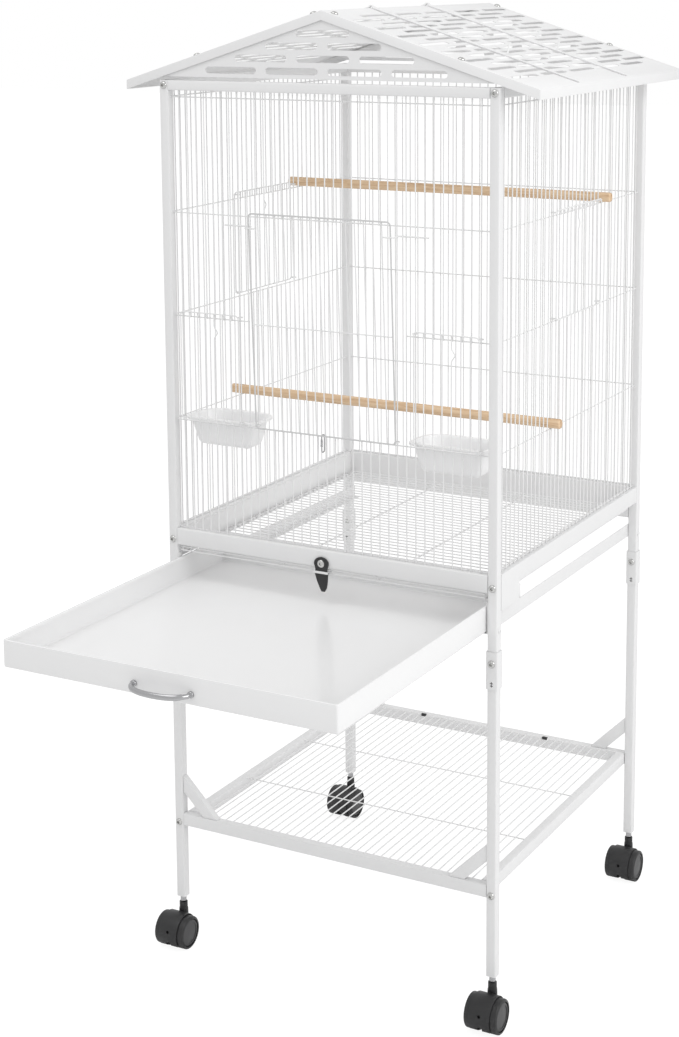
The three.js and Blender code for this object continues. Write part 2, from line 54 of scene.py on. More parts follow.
WIDTH = 600.0
DEPTH = 616.0
TUBE = 16.0
GAP = 0.3
FLOOR_WIRE, SILL_WIRE, MIDDLE_WIRE, HEAD_WIRE, TOP_WIRE = 739.0, 922.0, 1096.0, 1266.0, 1453.0
FRONT_PITCHES = 36
SIDE_PITCHES = 37
WALL_INSET = 7.0
LAP = 2.0
DOOR_OFFSET = 4.6
CORNERS = {
    "front_left": (-292.0, 8.0),
    "front_right": (292.0, 8.0),
    "back_left": (-292.0, 608.0),
    "back_right": (292.0, 608.0),
}
TURN = {"x": (0.0, math.pi / 2, 0.0), "y": (-math.pi / 2, 0.0, 0.0), "z": (0.0, 0.0, 0.0)}
SMOOTH_BELOW = math.radians(35)

Point = Sequence[float]


class Kind(Enum):
    """What is picked in edit mode."""

    VERT = "VERT"
    EDGE = "EDGE"
    FACE = "FACE"


class Slot(Enum):
    """Material slots of the record."""

    WHITE_PAINT = "white_paint"
    TRAY_PAINT = "tray_paint"
    CUP_PLASTIC = "cup_plastic"
    CHROME = "chrome"
    BLACK_PLASTIC = "black_plastic"
    BEECH = "beech"


class Bench:
    """Modelling steps on one held object at a time."""

    @staticmethod
    def hold(*objs: Object) -> Object:
        """Selects these objects only and makes the first one active.

        Args:
            objs: the objects to hold.

        Returns:
            The first of them.
        """
        if bpy.context.mode != "OBJECT":
            bpy.ops.object.mode_set(mode="OBJECT")
        bpy.ops.object.select_all(action="DESELECT")
        for obj in objs:
            obj.select_set(True)
        bpy.context.view_layer.objects.active = objs[0]
        return objs[0]

    @classmethod
    def apply(cls, obj: Object) -> Object:
        """Puts an object's place, turn and scale into its mesh, and returns it."""
        cls.hold(obj)
        bpy.ops.object.transform_apply(location=True, rotation=True, scale=True)
        return obj

    @classmethod
    def cylinder(cls, radius: float, height: float, place: Point, axis: str = "z", sides: int = 32) -> Object:
        """Adds a round bar.

        Args:
            radius: its radius.
            height: its length along the axis.
            place: its middle.
            axis: x, y or z.
            sides: how many sides it has.

        Returns:
            The new object.
        """
        bpy.ops.object.select_all(action="DESELECT")
        bpy.ops.mesh.primitive_cylinder_add(
            vertices=sides, radius=radius, depth=height, location=place, rotation=TURN[axis]
        )
        return cls.apply(bpy.context.object)

    @classmethod
    def block(cls, low: Point, high: Point) -> Object:
        """Adds a block between two corners.

        Args:
            low: the lowest corner.
            high: the highest corner.

        Returns:
            The new object.
        """
        bpy.ops.object.select_all(action="DESELECT")
        middle = [(a + b) / 2 for a, b in zip(low, high)]
        bpy.ops.mesh.primitive_cube_add(size=1, location=middle)
        obj = bpy.context.object
        obj.scale = [b - a for a, b in zip(low, high)]
        return cls.apply(obj)

    @classmethod
    def sheet(cls, size: tuple[float, float], place: Point, turn: Point = (0, 0, 0)) -> Object:
        """Adds a flat rectangle.

        Args:
            size: its width and length.
            place: its middle.
            turn: its rotation in radians.

        Returns:
            The new object.
        """
        bpy.ops.object.select_all(action="DESELECT")
        bpy.ops.mesh.primitive_plane_add(size=1, location=place, rotation=turn)
        obj = bpy.context.object
        obj.scale = (*size, 1)
        return cls.apply(obj)

    @classmethod
    def of_node(cls, node: str) -> Object:
        """Copies a CAD node's shape in the cage's millimetres, with its doubles merged and its flats whole.

        Args:
            node: the CAD node's name.

        Returns:
            The new object.
        """
        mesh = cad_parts[node].data.copy()
        mesh.transform(Matrix.Translation((0, -CAGE_SHIFT, 0)) @ Matrix.Scale(1 / MM, 4))
        mesh.materials.clear()
        obj = bpy.data.objects.new(node + "_shape", mesh)
        bpy.context.scene.collection.objects.link(obj)
        cls.hold(obj)
        bpy.ops.mesh.customdata_custom_splitnormals_clear()
        cls.weld(obj)
        bpy.ops.object.mode_set(mode="EDIT")
        bpy.ops.mesh.select_all(action="SELECT")
        bpy.ops.mesh.dissolve_limited(angle_limit=math.radians(1))
        bpy.ops.object.mode_set(mode="OBJECT")
        return obj

    @classmethod
    def pick(cls, obj: Object, kind: Kind, test: Callable) -> int:
        """Opens an object in edit mode and selects what passes a test.

        Args:
            obj: the object.
            kind: vertices, edges or faces.
            test: says of each one whether it is wanted.

        Returns:
            How many are selected.
        """
        if bpy.context.mode != "EDIT_MESH":
            cls.hold(obj)
            bpy.ops.object.mode_set(mode="EDIT")
        bpy.ops.mesh.select_mode(type=kind.value)
        bpy.ops.mesh.select_all(action="DESELECT")
        mesh = bmesh.from_edit_mesh(obj.data)
        mesh.normal_update()
        items = {Kind.VERT: mesh.verts, Kind.EDGE: mesh.edges, Kind.FACE: mesh.faces}[kind]
        chosen = [item for item in items if test(item)]
        for item in chosen:
            item.select_set(True)
        mesh.select_flush_mode()
        bmesh.update_edit_mesh(obj.data)
        return len(chosen)

    @staticmethod
    def done() -> None:
        """Leaves edit mode."""
        bpy.ops.object.mode_set(mode="OBJECT")

    @staticmethod
    def extrude(move: Point) -> None:
        """Extrudes what is selected by a move."""
        bpy.ops.mesh.extrude_region_move(TRANSFORM_OT_translate={"value": move})

    @staticmethod
    def resize(factor: Point, about: Point) -> None:
        """Scales what is selected by a factor per axis, about a point."""
        bpy.ops.transform.resize(value=factor, center_override=about)

    @staticmethod
    def round_over(width: float, segments: int = 2, corners: bool = False) -> None:
        """Bevels the selected edges, or with corners the selected vertices.

        Args:
            width: the bevel's width.
            segments: its number of segments.
            corners: whether vertices are meant.
        """
        bpy.ops.mesh.bevel(offset=width, segments=segments, affect="VERTICES" if corners else "EDGES")

    @classmethod
    def modify(cls, obj: Object, kind: str, **settings: object) -> Object:
        """Adds a modifier and applies it at once.

        Args:
            obj: the object.
            kind: the modifier's type.
            settings: the modifier's settings by name.

        Returns:
            The object.
        """
        cls.hold(obj)
        modifier = obj.modifiers.new(kind.title(), kind)
        for key, value in settings.items():
            setattr(modifier, key, value)
        bpy.ops.object.modifier_apply(modifier=modifier.name)
        return obj

    @classmethod
    def repeat(cls, obj: Object, count: int, step: Point) -> Object:
        """Makes a row of an object, a constant step apart."""
        offset = {"use_relative_offset": False, "use_constant_offset": True, "constant_offset_displace": step}
        return cls.modify(obj, "ARRAY", count=count, **offset)

    @classmethod
    def thicken(cls, obj: Object, thickness: float) -> Object:
        """Gives an open sheet a wall, grown away from the side that it faces."""
        return cls.modify(obj, "SOLIDIFY", thickness=thickness, offset=-1, use_even_offset=True)

    @classmethod
    def soften(cls, obj: Object, width: float, segments: int = 2, angle: float = 40) -> Object:
        """Bevels every edge that is sharper than an angle in degrees."""
        limit = {"limit_method": "ANGLE", "angle_limit": math.radians(angle)}
        return cls.modify(obj, "BEVEL", width=width, segments=segments, **limit)

    @classmethod
    def cut(cls, obj: Object, cutter: Object) -> Object:
        """Takes one object out of another, and removes the cutter."""
        cls.modify(obj, "BOOLEAN", operation="DIFFERENCE", object=cutter, solver="EXACT")
        bpy.data.objects.remove(cutter)
        return obj

    @classmethod
    def weld(cls, obj: Object, distance: float = 0.01) -> Object:
        """Merges doubles and turns every face outwards."""
        cls.hold(obj)
        bpy.ops.object.mode_set(mode="EDIT")
        bpy.ops.mesh.select_all(action="SELECT")
        bpy.ops.mesh.remove_doubles(threshold=distance)
        bpy.ops.mesh.normals_make_consistent(inside=False)
        bpy.ops.object.mode_set(mode="OBJECT")
        return obj

    @classmethod
    def face_up(cls, obj: Object) -> Object:
        """Turns an open shell over if its largest face looks down."""
        largest = max(obj.data.polygons, key=lambda polygon: polygon.area)
        if largest.normal.z < 0:
            cls.hold(obj)
            bpy.ops.object.mode_set(mode="EDIT")
            bpy.ops.mesh.select_all(action="SELECT")
            bpy.ops.mesh.flip_normals()
            bpy.ops.object.mode_set(mode="OBJECT")
        return obj

    @classmethod
    def copy(cls, obj: Object, place: Matrix) -> Object:
        """Copies an object with a mesh of its own.

        Args:
            obj: the object.
            place: how the copy is moved or turned.

        Returns:
            The copy.
        """
        cls.hold(obj)
        bpy.ops.object.duplicate()
        made = bpy.context.object
        made.matrix_world = place @ made.matrix_world
        cls.apply(made)
        return cls.weld(made) if place.determinant() < 0 else made

    @classmethod
    def join(cls, objs: Iterable[Object]) -> Object:
        """Joins objects into the first of them."""
        first = cls.hold(*objs)
        bpy.ops.object.join()
        return first

    @classmethod
    def dome(cls, radius: float, height: float, recess: float) -> Object:
        """Models a domed screw head that looks up, with a round socket in it.

        Args:
            radius: the head's radius.
            height: its height above z = 0.
            recess: the socket's depth.

        Returns:
            The new object.
        """
        head = cls.cylinder(radius, height * 0.3, (0, 0, height * 0.15), sides=24)
        cls.pick(head, Kind.FACE, lambda face: face.normal.z > 0.9)
        for rise, shrink in [(0.36, 0.86), (0.22, 0.76), (0.12, 0.62)]:
            cls.extrude((0, 0, height * rise))
            cls.resize((shrink, shrink, 1), (0, 0, 0))
        cls.extrude((0, 0, -recess))
        cls.resize((0.8, 0.8, 1), (0, 0, 0))
        cls.done()
        return head


@dataclass(frozen=True)
class Wire:
    """Round steel wire with dressed ends."""

    radius: float = 1.1
    sides: int = 8
    fold_steps: int = 5

    def straight(self, axis: str, start: float, end: float, across: tuple[float, float]) -> Object:
        """Cuts a straight wire.

        Args:
            axis: the direction it runs in.
            start: its start along that axis.
            end: its end.
            across: its two other coordinates, in order.

        Returns:
            The new object.
        """
        place = list(across)
        place.insert("xyz".index(axis), (start + end) / 2)
        bar = Bench.cylinder(self.radius, end - start, place, axis, self.sides)
        run = "xyz".index(axis)
        Bench.pick(bar, Kind.FACE, lambda face: abs(face.normal[run]) > 0.9)
        Bench.round_over(self.radius * 0.35, 1)
        Bench.done()
        return bar

    def row(self, axis: str, span: tuple[float, float], across: Point, count: int, step: Point) -> Object:
        """Cuts a row of equal wires.

        Args:
            axis: the direction they run in.
            span: where they start and end along it.
            across: the two other coordinates of the first one.
            count: how many there are.
            step: from each to the next.

        Returns:
            The new object.
        """
        first = self.straight(axis, *span, tuple(across))
        return Bench.repeat(first, count, step) if count > 1 else first

    def rounded(self, corners: Sequence[Vector], fold: float, closed: bool) -> list[Vector]:
        """Finds the line of a wire that is folded round corners.

        Args:
            corners: the corners, in order.
            fold: how far from a corner its fold starts.
            closed: whether the last corner leads back to the first.

        Returns:
            Points along the line.
        """
        path: list[Vector] = []
        for index, corner in enumerate(corners):
            if not closed and index in (0, len(corners) - 1):
                path.append(corner)
                continue
            before = corners[index - 1] - corner
            after = corners[(index + 1) % len(corners)] - corner
            reach = min(fold, before.length * 0.49, after.length * 0.49)
            start = corner + before.normalized() * reach
            end = corner + after.normalized() * reach
            for step in range(self.fold_steps + 1):
                t = step / self.fold_steps
                path.append(start * (1 - t) ** 2 + corner * (2 * t * (1 - t)) + end * t**2)
        return path

    def bent(self, corners: Sequence[Point], fold: float = 4.0, closed: bool = False) -> Object:
        """Folds a wire through corners.

        Args:
            corners: the corners, in order.
            fold: how far from a corner its fold starts.
            closed: whether the wire's ends are welded together.

        Returns:
            The new object, a mesh.
        """
        path = self.rounded([Vector(corner) for corner in corners], fold, closed)
        curve = bpy.data.curves.new("bent_wire", "CURVE")
        curve.dimensions = "3D"
        curve.bevel_depth = self.radius
        curve.bevel_resolution = (self.sides - 4) // 2
        curve.use_fill_caps = True
        spline = curve.splines.new("POLY")
        spline.points.add(len(path) - 1)
        for point, place in zip(spline.points, path):
            point.co = (*place, 1)
        spline.use_cyclic_u = closed
        obj = bpy.data.objects.new("bent_wire", curve)
        bpy.context.scene.collection.objects.link(obj)
        Bench.hold(obj)
        bpy.ops.object.convert(target="MESH")
        return Bench.weld(bpy.context.object)


WALL_WIRE = Wire(1.05)
FRAME_WIRE = Wire(1.35)
STAY_WIRE = Wire(1.6)


class Value:
    """A shader socket that takes part in Python sums."""

    def __init__(self, shader: "Shader", socket: bpy.types.NodeSocket) -> None:
        """Wraps a socket of a shader."""
        self.shader = shader
        self.socket = socket

    def _sum(self, operation: str, first: object, second: object) -> "Value":
        """Adds a Math node and returns its result."""
        node = self.shader.node("ShaderNodeMath", {"operation": operation}, {0: first, 1: second})
        return Value(self.shader, node.outputs[0])

    def __add__(self, other: object) -> "Value":
        """Returns this plus the other."""
        return self._sum("ADD", self, other)

    __radd__ = __add__

    def __sub__(self, other: object) -> "Value":
        """Returns this less the other."""
        return self._sum("SUBTRACT", self, other)

    def __rsub__(self, other: object) -> "Value":
        """Returns the other less this."""
        return self._sum("SUBTRACT", other, self)

    def __mul__(self, other: object) -> "Value":
        """Returns this times the other."""
        return self._sum("MULTIPLY", self, other)

    __rmul__ = __mul__


class Shader:
    """A material's nodes, made one by one."""

    def __init__(self, name: str) -> None:
        """Starts a material with an empty node tree."""
        self.material = bpy.data.materials.new(name)
        self.material.use_nodes = True
        self.tree = self.material.node_tree
        self.tree.nodes.clear()

    def node(self, kind: str, settings: dict | None = None, sockets: dict | None = None) -> bpy.types.Node:
        """Adds a node.

        Args:
            kind: the node's type.
            settings: its settings, with a ramp's stops as a list of (place, colour).
            sockets: the values or links of its sockets, by name or number.

        Returns:
            The node.
        """
        made = self.tree.nodes.new(kind)
        for key, value in (settings or {}).items():
            if key == "stops":
                ramp = made.color_ramp.elements
                while len(ramp) < len(value):
                    ramp.new(0.5)
                for element, (place, colour) in zip(ramp, value):
                    element.position = place
                    element.color = (*colour, 1)
            else:
                setattr(made, key, value)
        for key, value in (sockets or {}).items():
            if isinstance(value, Value):
                self.tree.links.new(value.socket, made.inputs[key])
            elif isinstance(value, bpy.types.NodeSocket):
                self.tree.links.new(value, made.inputs[key])
            else:
                made.inputs[key].default_value = value
        return made

    def noise(self, size: float, detail: float = 2.0, stretch: Point = (1, 1, 1)) -> Value:
        """Adds cloudy variation on the object's own coordinates.

        Args:
            size: the size of its patches in millimetres.
            detail: how many finer layers it has.
            stretch: how much finer it is along each axis.

        Returns:
            A value about 0.5.
        """
        place = self.node("ShaderNodeTexCoord").outputs["Object"]
        mapping = self.node("ShaderNodeMapping", {}, {"Vector": place, "Scale": tuple(stretch)})
        sockets = {"Vector": mapping.outputs["Vector"], "Scale": 1 / (size * MM), "Detail": detail}
        return Value(self, self.node("ShaderNodeTexNoise", {}, sockets).outputs["Fac"])

    def mix(self, factor: Value, first: Point, second: Point) -> bpy.types.NodeSocket:
        """Mixes two colours by a value and returns the colour."""
        sockets = {"Factor": factor, 6: (*first, 1), 7: (*second, 1)}
        return self.node("ShaderNodeMix", {"data_type": "RGBA"}, sockets).outputs[2]

    def relief(self, height: Value, depth: float) -> bpy.types.NodeSocket:
        """Makes bumps of a depth in millimetres and returns the normal."""
        sockets = {"Height": height, "Distance": depth * MM, "Strength": 1.0}
        return self.node("ShaderNodeBump", {}, sockets).outputs["Normal"]

    def finish(self, sockets: dict) -> Material:
        """Ends the tree in a surface with these sockets and returns the material."""
        surface = self.node("ShaderNodeBsdfPrincipled", {}, sockets)
        self.node("ShaderNodeOutputMaterial", {}, {"Surface": surface.outputs[0]})
        return self.material


@dataclass(frozen=True)
class Coating:
    """A painted, plated or moulded surface with fine grain and slight unevenness."""

    name: str
    slot: Slot
    colour: tuple[float, float, float]
    shade: tuple[float, float, float]
    roughness: float
    spread: float
    grain: float
    depth: float
    metallic: float = 0.0
    coat: float = 0.0
    transmission: float = 0.0

    def material(self) -> Material:
        """Returns the finish's material, made once."""
        ready = bpy.data.materials.get(self.name)
        if ready:
            return ready
        shader = Shader(self.name)
        cloud = shader.noise(size=45.0, detail=3.0)
        fine = shader.noise(size=self.grain, detail=2.0)
        return shader.finish(
            {
                "Base Color": shader.mix(cloud, self.colour, self.shade),
                "Roughness": self.roughness + (cloud - 0.5) * self.spread + (fine - 0.5) * (self.spread / 2),
                "Metallic": self.metallic,
                "Coat Weight": self.coat,
                "Coat Roughness": 0.12,
                "Transmission Weight": self.transmission,
                "Normal": shader.relief(fine, self.depth),
            }
        )


@dataclass(frozen=True)
class BeechWood:
    """Turned beech with grain along x, fine pores and slightly darker bands."""

    name: str = "turned_beech"
    slot: Slot = Slot.BEECH
    light: tuple[float, float, float] = (0.82, 0.63, 0.43)
    middle: tuple[float, float, float] = (0.73, 0.52, 0.33)
    dark: tuple[float, float, float] = (0.56, 0.36, 0.21)

    def material(self) -> Material:
        """Returns the finish's material, made once."""
        ready = bpy.data.materials.get(self.name)
        if ready:
            return ready
        shader = Shader(self.name)
        grain = shader.noise(size=3.2, detail=4.0, stretch=(0.06, 1, 1))
        pores = shader.noise(size=0.7, detail=2.0, stretch=(0.12, 1, 1))
        stops = [(0.3, self.dark), (0.5, self.middle), (0.72, self.light)]
        ramp = shader.node("ShaderNodeValToRGB", {"stops": stops}, {"Fac": grain * 0.75 + pores * 0.25})
        return shader.finish(
            {
                "Base Color": ramp.outputs["Color"],
                "Roughness": 0.5 + pores * 0.25,
                "Normal": shader.relief(grain * 0.4 + pores * 0.6, 0.12),
            }
        )


WHITE_PAINT = Coating(
    name="white_powder_coat",
    slot=Slot.WHITE_PAINT,
    colour=(0.8, 0.8, 0.8),
    shade=(0.77, 0.77, 0.775),
    roughness=0.42,
    spread=0.12,
    grain=0.9,
    depth=0.02,
)
TRAY_PAINT = Coating(
    name="white_gloss_enamel",
    slot=Slot.TRAY_PAINT,
    colour=(0.85, 0.85, 0.85),
    shade=(0.83, 0.83, 0.835),
    roughness=0.24,
    spread=0.06,
    grain=1.6,
    depth=0.004,
    coat=0.2,
)
CUP_PLASTIC = Coating(
    name="milky_plastic",
    slot=Slot.CUP_PLASTIC,
    colour=(0.97, 0.97, 0.97),
    shade=(0.95, 0.95, 0.955),
    roughness=0.3,
    spread=0.1,
    grain=0.7,
    depth=0.02,
    transmission=0.06,
)
CHROME = Coating(
    name="bright_chrome",
    slot=Slot.CHROME,
    colour=(0.5, 0.5, 0.51),
    shade=(0.43, 0.43, 0.44),
    roughness=0.16,
    spread=0.08,
    grain=0.5,
    depth=0.004,
    metallic=1.0,
)
BOLT_ZINC = Coating(
    name="bright_zinc",
    slot=Slot.CHROME,
    colour=(0.66, 0.66, 0.65),
    shade=(0.56, 0.56, 0.55),
    roughness=0.24,
    spread=0.1,
    grain=0.5,
    depth=0.01,
    metallic=1.0,
)
# Painted shade: the door's frame wire is white like the walls, and this grey stands for the shade that
# darkens it.
DOOR_SHADE_PAINT = Coating(
    name="door_wire_painted_shade",
    slot=Slot.WHITE_PAINT,
    colour=(0.62, 0.62, 0.62),
    shade=(0.56, 0.56, 0.565),
    roughness=0.45,
    spread=0.12,
    grain=0.9,
    depth=0.02,
)
BLACK_PLASTIC = Coating(
    name="black_moulded_plastic",
    slot=Slot.BLACK_PLASTIC,
    colour=(0.022, 0.022, 0.023),
    shade=(0.015, 0.015, 0.016),
    roughness=0.4,
    spread=0.16,
    grain=0.45,
    depth=0.03,
)
GREY_DISC = Coating(
    name="dark_grey_plastic",
    slot=Slot.BLACK_PLASTIC,
    colour=(0.05, 0.05, 0.052),
    shade=(0.036, 0.036, 0.038),
    roughness=0.34,
    spread=0.12,
    grain=0.45,
    depth=0.02,
)
BEECH = BeechWood()


def settle(
    obj: Object, name: str, finish: Coating | BeechWood, body: str = STAND, nodes: Sequence[str] = ()
) -> Object:
    """Puts a finished piece into the row frame, dresses it and lets it ride on its body.

    Args:
        obj: the piece, in the cage's millimetres.
        name: its name.
        finish: its surface.
        body: the CAD body that it moves with.
        nodes: the CAD nodes that it stands for.

    Returns:
        The piece.
    """
    Bench.hold(obj)
    obj.scale = (MM, MM, MM)
    obj.location = (0, CAGE_SHIFT * MM, 0)
    Bench.apply(obj)
    obj.name = obj.data.name = name
    bpy.ops.object.shade_smooth_by_angle(angle=SMOOTH_BELOW)
    obj.data.materials.clear()
    obj.data.materials.append(finish.material())
    if nodes:
        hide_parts(*nodes)
    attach(obj, body)
    LOG.info("%s: %d faces on %s", name, len(obj.data.polygons), body)
    return obj


@dataclass
class FrameTubes:
    """Posts, legs, rails, braces and tray guides, with the rounded edges of drawn tube and folded sheet."""

    tube_radius: float = 1.8
    sheet_radius: float = 0.45
    brace_radius: float = 1.2
    tubes: tuple[str, ...] = (
        *(f"post_{corner}" for corner in CORNERS),
        *(f"leg_{corner}" for corner in CORNERS),
        *(f"top_rail_{side}" for side in ("front", "back", "left", "right")),
        "base_rail_front",
        "base_rail_back",
        *(f"shelf_rail_{side}" for side in ("front", "back", "left", "right")),
    )
    sheets: tuple[str, ...] = ("base_rail_left", "base_rail_right", "tray_guide_left", "tray_guide_right")

    def round_along(self, obj: Object, width: float) -> None:
        """Rounds the outer edges that run the long way of a tube or folded sheet.

        Args:
            obj: the piece.
            width: the width of the rounding.
        """
        run = max(range(3), key=lambda axis: obj.dimensions[axis])

        def wanted(edge: bmesh.types.BMEdge) -> bool:
            """Says whether an edge is a sharp outer one along the piece."""
            if not edge.is_manifold or not edge.is_convex or edge.calc_face_angle() < 0.7:
                return False
            along = edge.verts[1].co - edge.verts[0].co
            return abs(along[run]) > 0.99 * along.length

        Bench.pick(obj, Kind.EDGE, wanted)
        Bench.round_over(width, 3)
        Bench.done()

    def build(self) -> None:
        """Builds every member from its CAD node."""
        for node in self.tubes:
            tube = Bench.of_node(node)
            self.round_along(tube, self.tube_radius)
            settle(tube, node + "_tube", WHITE_PAINT, nodes=[node])
        for node in self.sheets:
            sheet = Bench.of_node(node)
            self.round_along(sheet, self.sheet_radius)
            settle(sheet, node + "_folded", WHITE_PAINT, nodes=[node])
        for corner in CORNERS:
            node = f"brace_{corner}"
            brace = Bench.soften(Bench.of_node(node), self.brace_radius, 3)
            settle(brace, node + "_strut", WHITE_PAINT, nodes=[node])


@dataclass
class FrameScrews:
    """Domed bolts through the posts and legs, and the small clips on the back shelf rail."""

    radius: float = 6.0
    height: float = 3.4
    recess: float = 3.0
    post_heights: dict[str, float] = field(
        default_factory=lambda: {"top": 1472.0, "base": 718.0, "shelf": 218.0, "socket": 598.0}
    )
    socket_face: float = 1.8
    side_height: float = 650.0
    side_scale: float = 0.72
    mark: tuple[float, float, float] = (2.6, 561.0, 569.5)
    mark_bars: tuple[float, float] = (566.5, 562.5)
    mark_bar: float = 1.1
    mark_stem: float = 0.6
    clip_half: float = 5.0
    clip_levels: tuple[float, float] = (230.5, 235.2)
    clip_places: tuple[float, float] = (-126.0, 126.0)

    def post_bolts(self, bolt: Object, corner: str) -> None:
        """Sets the bolts of one corner: back posts have theirs behind, except for the one in the socket.

        Args:
            bolt: the bolt to copy.
            corner: the corner's name.
        """
        x, y = CORNERS[corner]
        for level, z in self.post_heights.items():
            is_socket = level == "socket"
            side = -1 if is_socket or corner.startswith("front") else 1
            out = TUBE / 2 + (self.socket_face if is_socket else 0)
            place = Matrix.Translation((x, y + side * out, z))
            face = Matrix.Rotation(-side * math.pi / 2, 4, "X")
            settle(Bench.copy(bolt, place @ face), f"bolt_{corner}_{level}", BOLT_ZINC)
        side = 1 if x > 0 else -1
        place = Matrix.Translation((x + side * TUBE / 2, y, self.side_height))
        turn = Matrix.Rotation(side * math.pi / 2, 4, "Y") @ Matrix.Scale(self.side_scale, 4)
        settle(Bench.copy(bolt, place @ turn), f"bolt_{corner}_side", WHITE_PAINT)

    def socket_slot_shade(self, corner: str) -> None:
        """Puts dark bars on the front of one corner's socket, painted shade that stands for the shade in its
        pressed slots.
        """
        x, y = CORNERS[corner]
        half, low, high = self.mark
        front = y - TUBE / 2 - self.socket_face
        near, far = front - 0.3, front + 0.4
        bars = [Bench.block((x - half, near, z), (x + half, far, z + self.mark_bar)) for z in self.mark_bars]
        bars.append(Bench.block((x - self.mark_stem, near, low), (x + self.mark_stem, far, high)))
        # The dark grey bars are painted shade: they stand for the shade inside the socket's slots.
        settle(Bench.soften(Bench.join(bars), 0.2, 1), f"socket_slot_shade_{corner}", GREY_DISC)

    def build(self) -> None:
        """Models one bolt, sets its copies in every post and leg, and adds the painted-shade slot marks and
        the clips.
        """
        bolt = Bench.dome(self.radius, self.height, self.recess)
        for corner in CORNERS:
            self.post_bolts(bolt, corner)
            self.socket_slot_shade(corner)
        bpy.data.objects.remove(bolt)
        rail = DEPTH - TUBE
        low, high = self.clip_levels
        for number, x in enumerate(self.clip_places, 1):
            clip = Bench.block((x - self.clip_half, rail - 1.2, low), (x + self.clip_half, rail + 4, high))
            Bench.soften(clip, 0.8, 2)
            settle(clip, f"shelf_clip_{number}", BLACK_PLASTIC)


@dataclass(frozen=True)
class Doorway:
    """An opening in a wall and the door in front of it, counted in wires across and millimetres up."""

    start: int
    end: int
    low: float
    high: float
    kink: int | None = None
    bars: tuple[float, ...] = ()


MAIN_DOORWAY = Doorway(10, 26, SILL_WIRE, HEAD_WIRE, bars=(MIDDLE_WIRE,))
FEEDER_DOORWAYS = {
    "left": Doorway(1, 8, SILL_WIRE, MIDDLE_WIRE, kink=5),
    "right": Doorway(28, 35, SILL_WIRE, MIDDLE_WIRE, kink=32),
}
NEST_DOORWAY = Doorway(13, 25, MIDDLE_WIRE, HEAD_WIRE, kink=19)


@dataclass
class WallPlane:
    """The flat frame that a wall and its doors are welded in: x across it, y into the cage and z up."""

    pitches: int
    middle: tuple[float, float]
    turn: float
    flip: int = 1

    def u(self, number: float) -> float:
        """Returns the place across the wall of a wire's number."""
        span = (WIDTH if self.pitches == FRONT_PITCHES else DEPTH) - 2 * TUBE
        return self.flip * (number / self.pitches - 0.5) * span

    def stand(self, obj: Object) -> Object:
        """Turns a flat panel into its place in the cage and returns it."""
        matrix = Matrix.Translation((*self.middle, 0)) @ Matrix.Rotation(math.radians(self.turn), 4, "Z")
        obj.matrix_world = matrix @ obj.matrix_world
        return Bench.apply(obj)


FRONT = WallPlane(FRONT_PITCHES, (0, WALL_INSET), 0)
BACK = WallPlane(FRONT_PITCHES, (0, DEPTH - WALL_INSET), 180)
RIGHT = WallPlane(SIDE_PITCHES, (WIDTH / 2 - WALL_INSET, DEPTH / 2), 90)
LEFT = WallPlane(SIDE_PITCHES, (WALL_INSET - WIDTH / 2, DEPTH / 2), -90, flip=-1)


@dataclass
class WireWalls:
    """Four welded walls: upright wires outside, level wires inside, with openings for the doors."""

    rail_bottom: float = 1464.0
    foot: float = FLOOR_WIRE - 1.3

    def uprights(self, plane: WallPlane, start: int, end: int, span: tuple[float, float]) -> Object:
        """Cuts the upright wires of a stretch of wall.

        Args:
            plane: the wall.
            start: the number of the first wire.
            end: the number of the last.
            span: their bottom and top.

        Returns:
            The row.
        """
        step = (plane.u(end) - plane.u(start)) / max(end - start, 1)
        return WALL_WIRE.row("z", span, (plane.u(start), 0), end - start + 1, (step, 0, 0))

    def panel(self, plane: WallPlane, doorways: Sequence[Doorway], cut: float | None = None) -> Object:
        """Welds a wall together.

        Args:
            plane: the wall.
            doorways: its openings, from left to right.
            cut: half the gap in the middle wire, or nothing.

        Returns:
            The wall in its place.
        """
        parts, number = [], 1
        for doorway in doorways:
            if number <= doorway.start:
                parts.append(self.uprights(plane, number, doorway.start, (self.foot, self.rail_bottom)))
            inside = (doorway.start + 1, doorway.end - 1)
            parts.append(self.uprights(plane, *inside, (self.foot, doorway.low + 1.3)))
            parts.append(self.uprights(plane, *inside, (doorway.high - 1.3, self.rail_bottom)))
            number = doorway.end
        parts.append(self.uprights(plane, number, plane.pitches - 1, (self.foot, self.rail_bottom)))
        reach = abs(plane.u(plane.pitches)) - GAP
        for z in (FLOOR_WIRE, SILL_WIRE, MIDDLE_WIRE, HEAD_WIRE, TOP_WIRE):
            if cut and z == MIDDLE_WIRE:
                parts.append(WALL_WIRE.straight("x", -reach, -cut, (LAP, z)))
                parts.append(WALL_WIRE.straight("x", cut, reach, (LAP, z)))
            else:
                parts.append(WALL_WIRE.straight("x", -reach, reach, (LAP, z)))
        return plane.stand(Bench.join(parts))

    def build(self) -> None:
        """Builds the four walls."""
        cut = FRONT.u(MAIN_DOORWAY.end + 1) - 1.3
        doorways = [FEEDER_DOORWAYS["left"], MAIN_DOORWAY, FEEDER_DOORWAYS["right"]]
        settle(self.panel(FRONT, doorways, cut), "wire_wall_front", WHITE_PAINT, nodes=["wall_front"])
        settle(self.panel(BACK, []), "wire_wall_back", WHITE_PAINT, nodes=["wall_back"])
        settle(self.panel(RIGHT, [NEST_DOORWAY]), "wire_wall_right", WHITE_PAINT, nodes=["wall_right"])
        settle(self.panel(LEFT, [NEST_DOORWAY]), "wire_wall_left", WHITE_PAINT, nodes=["wall_left"])


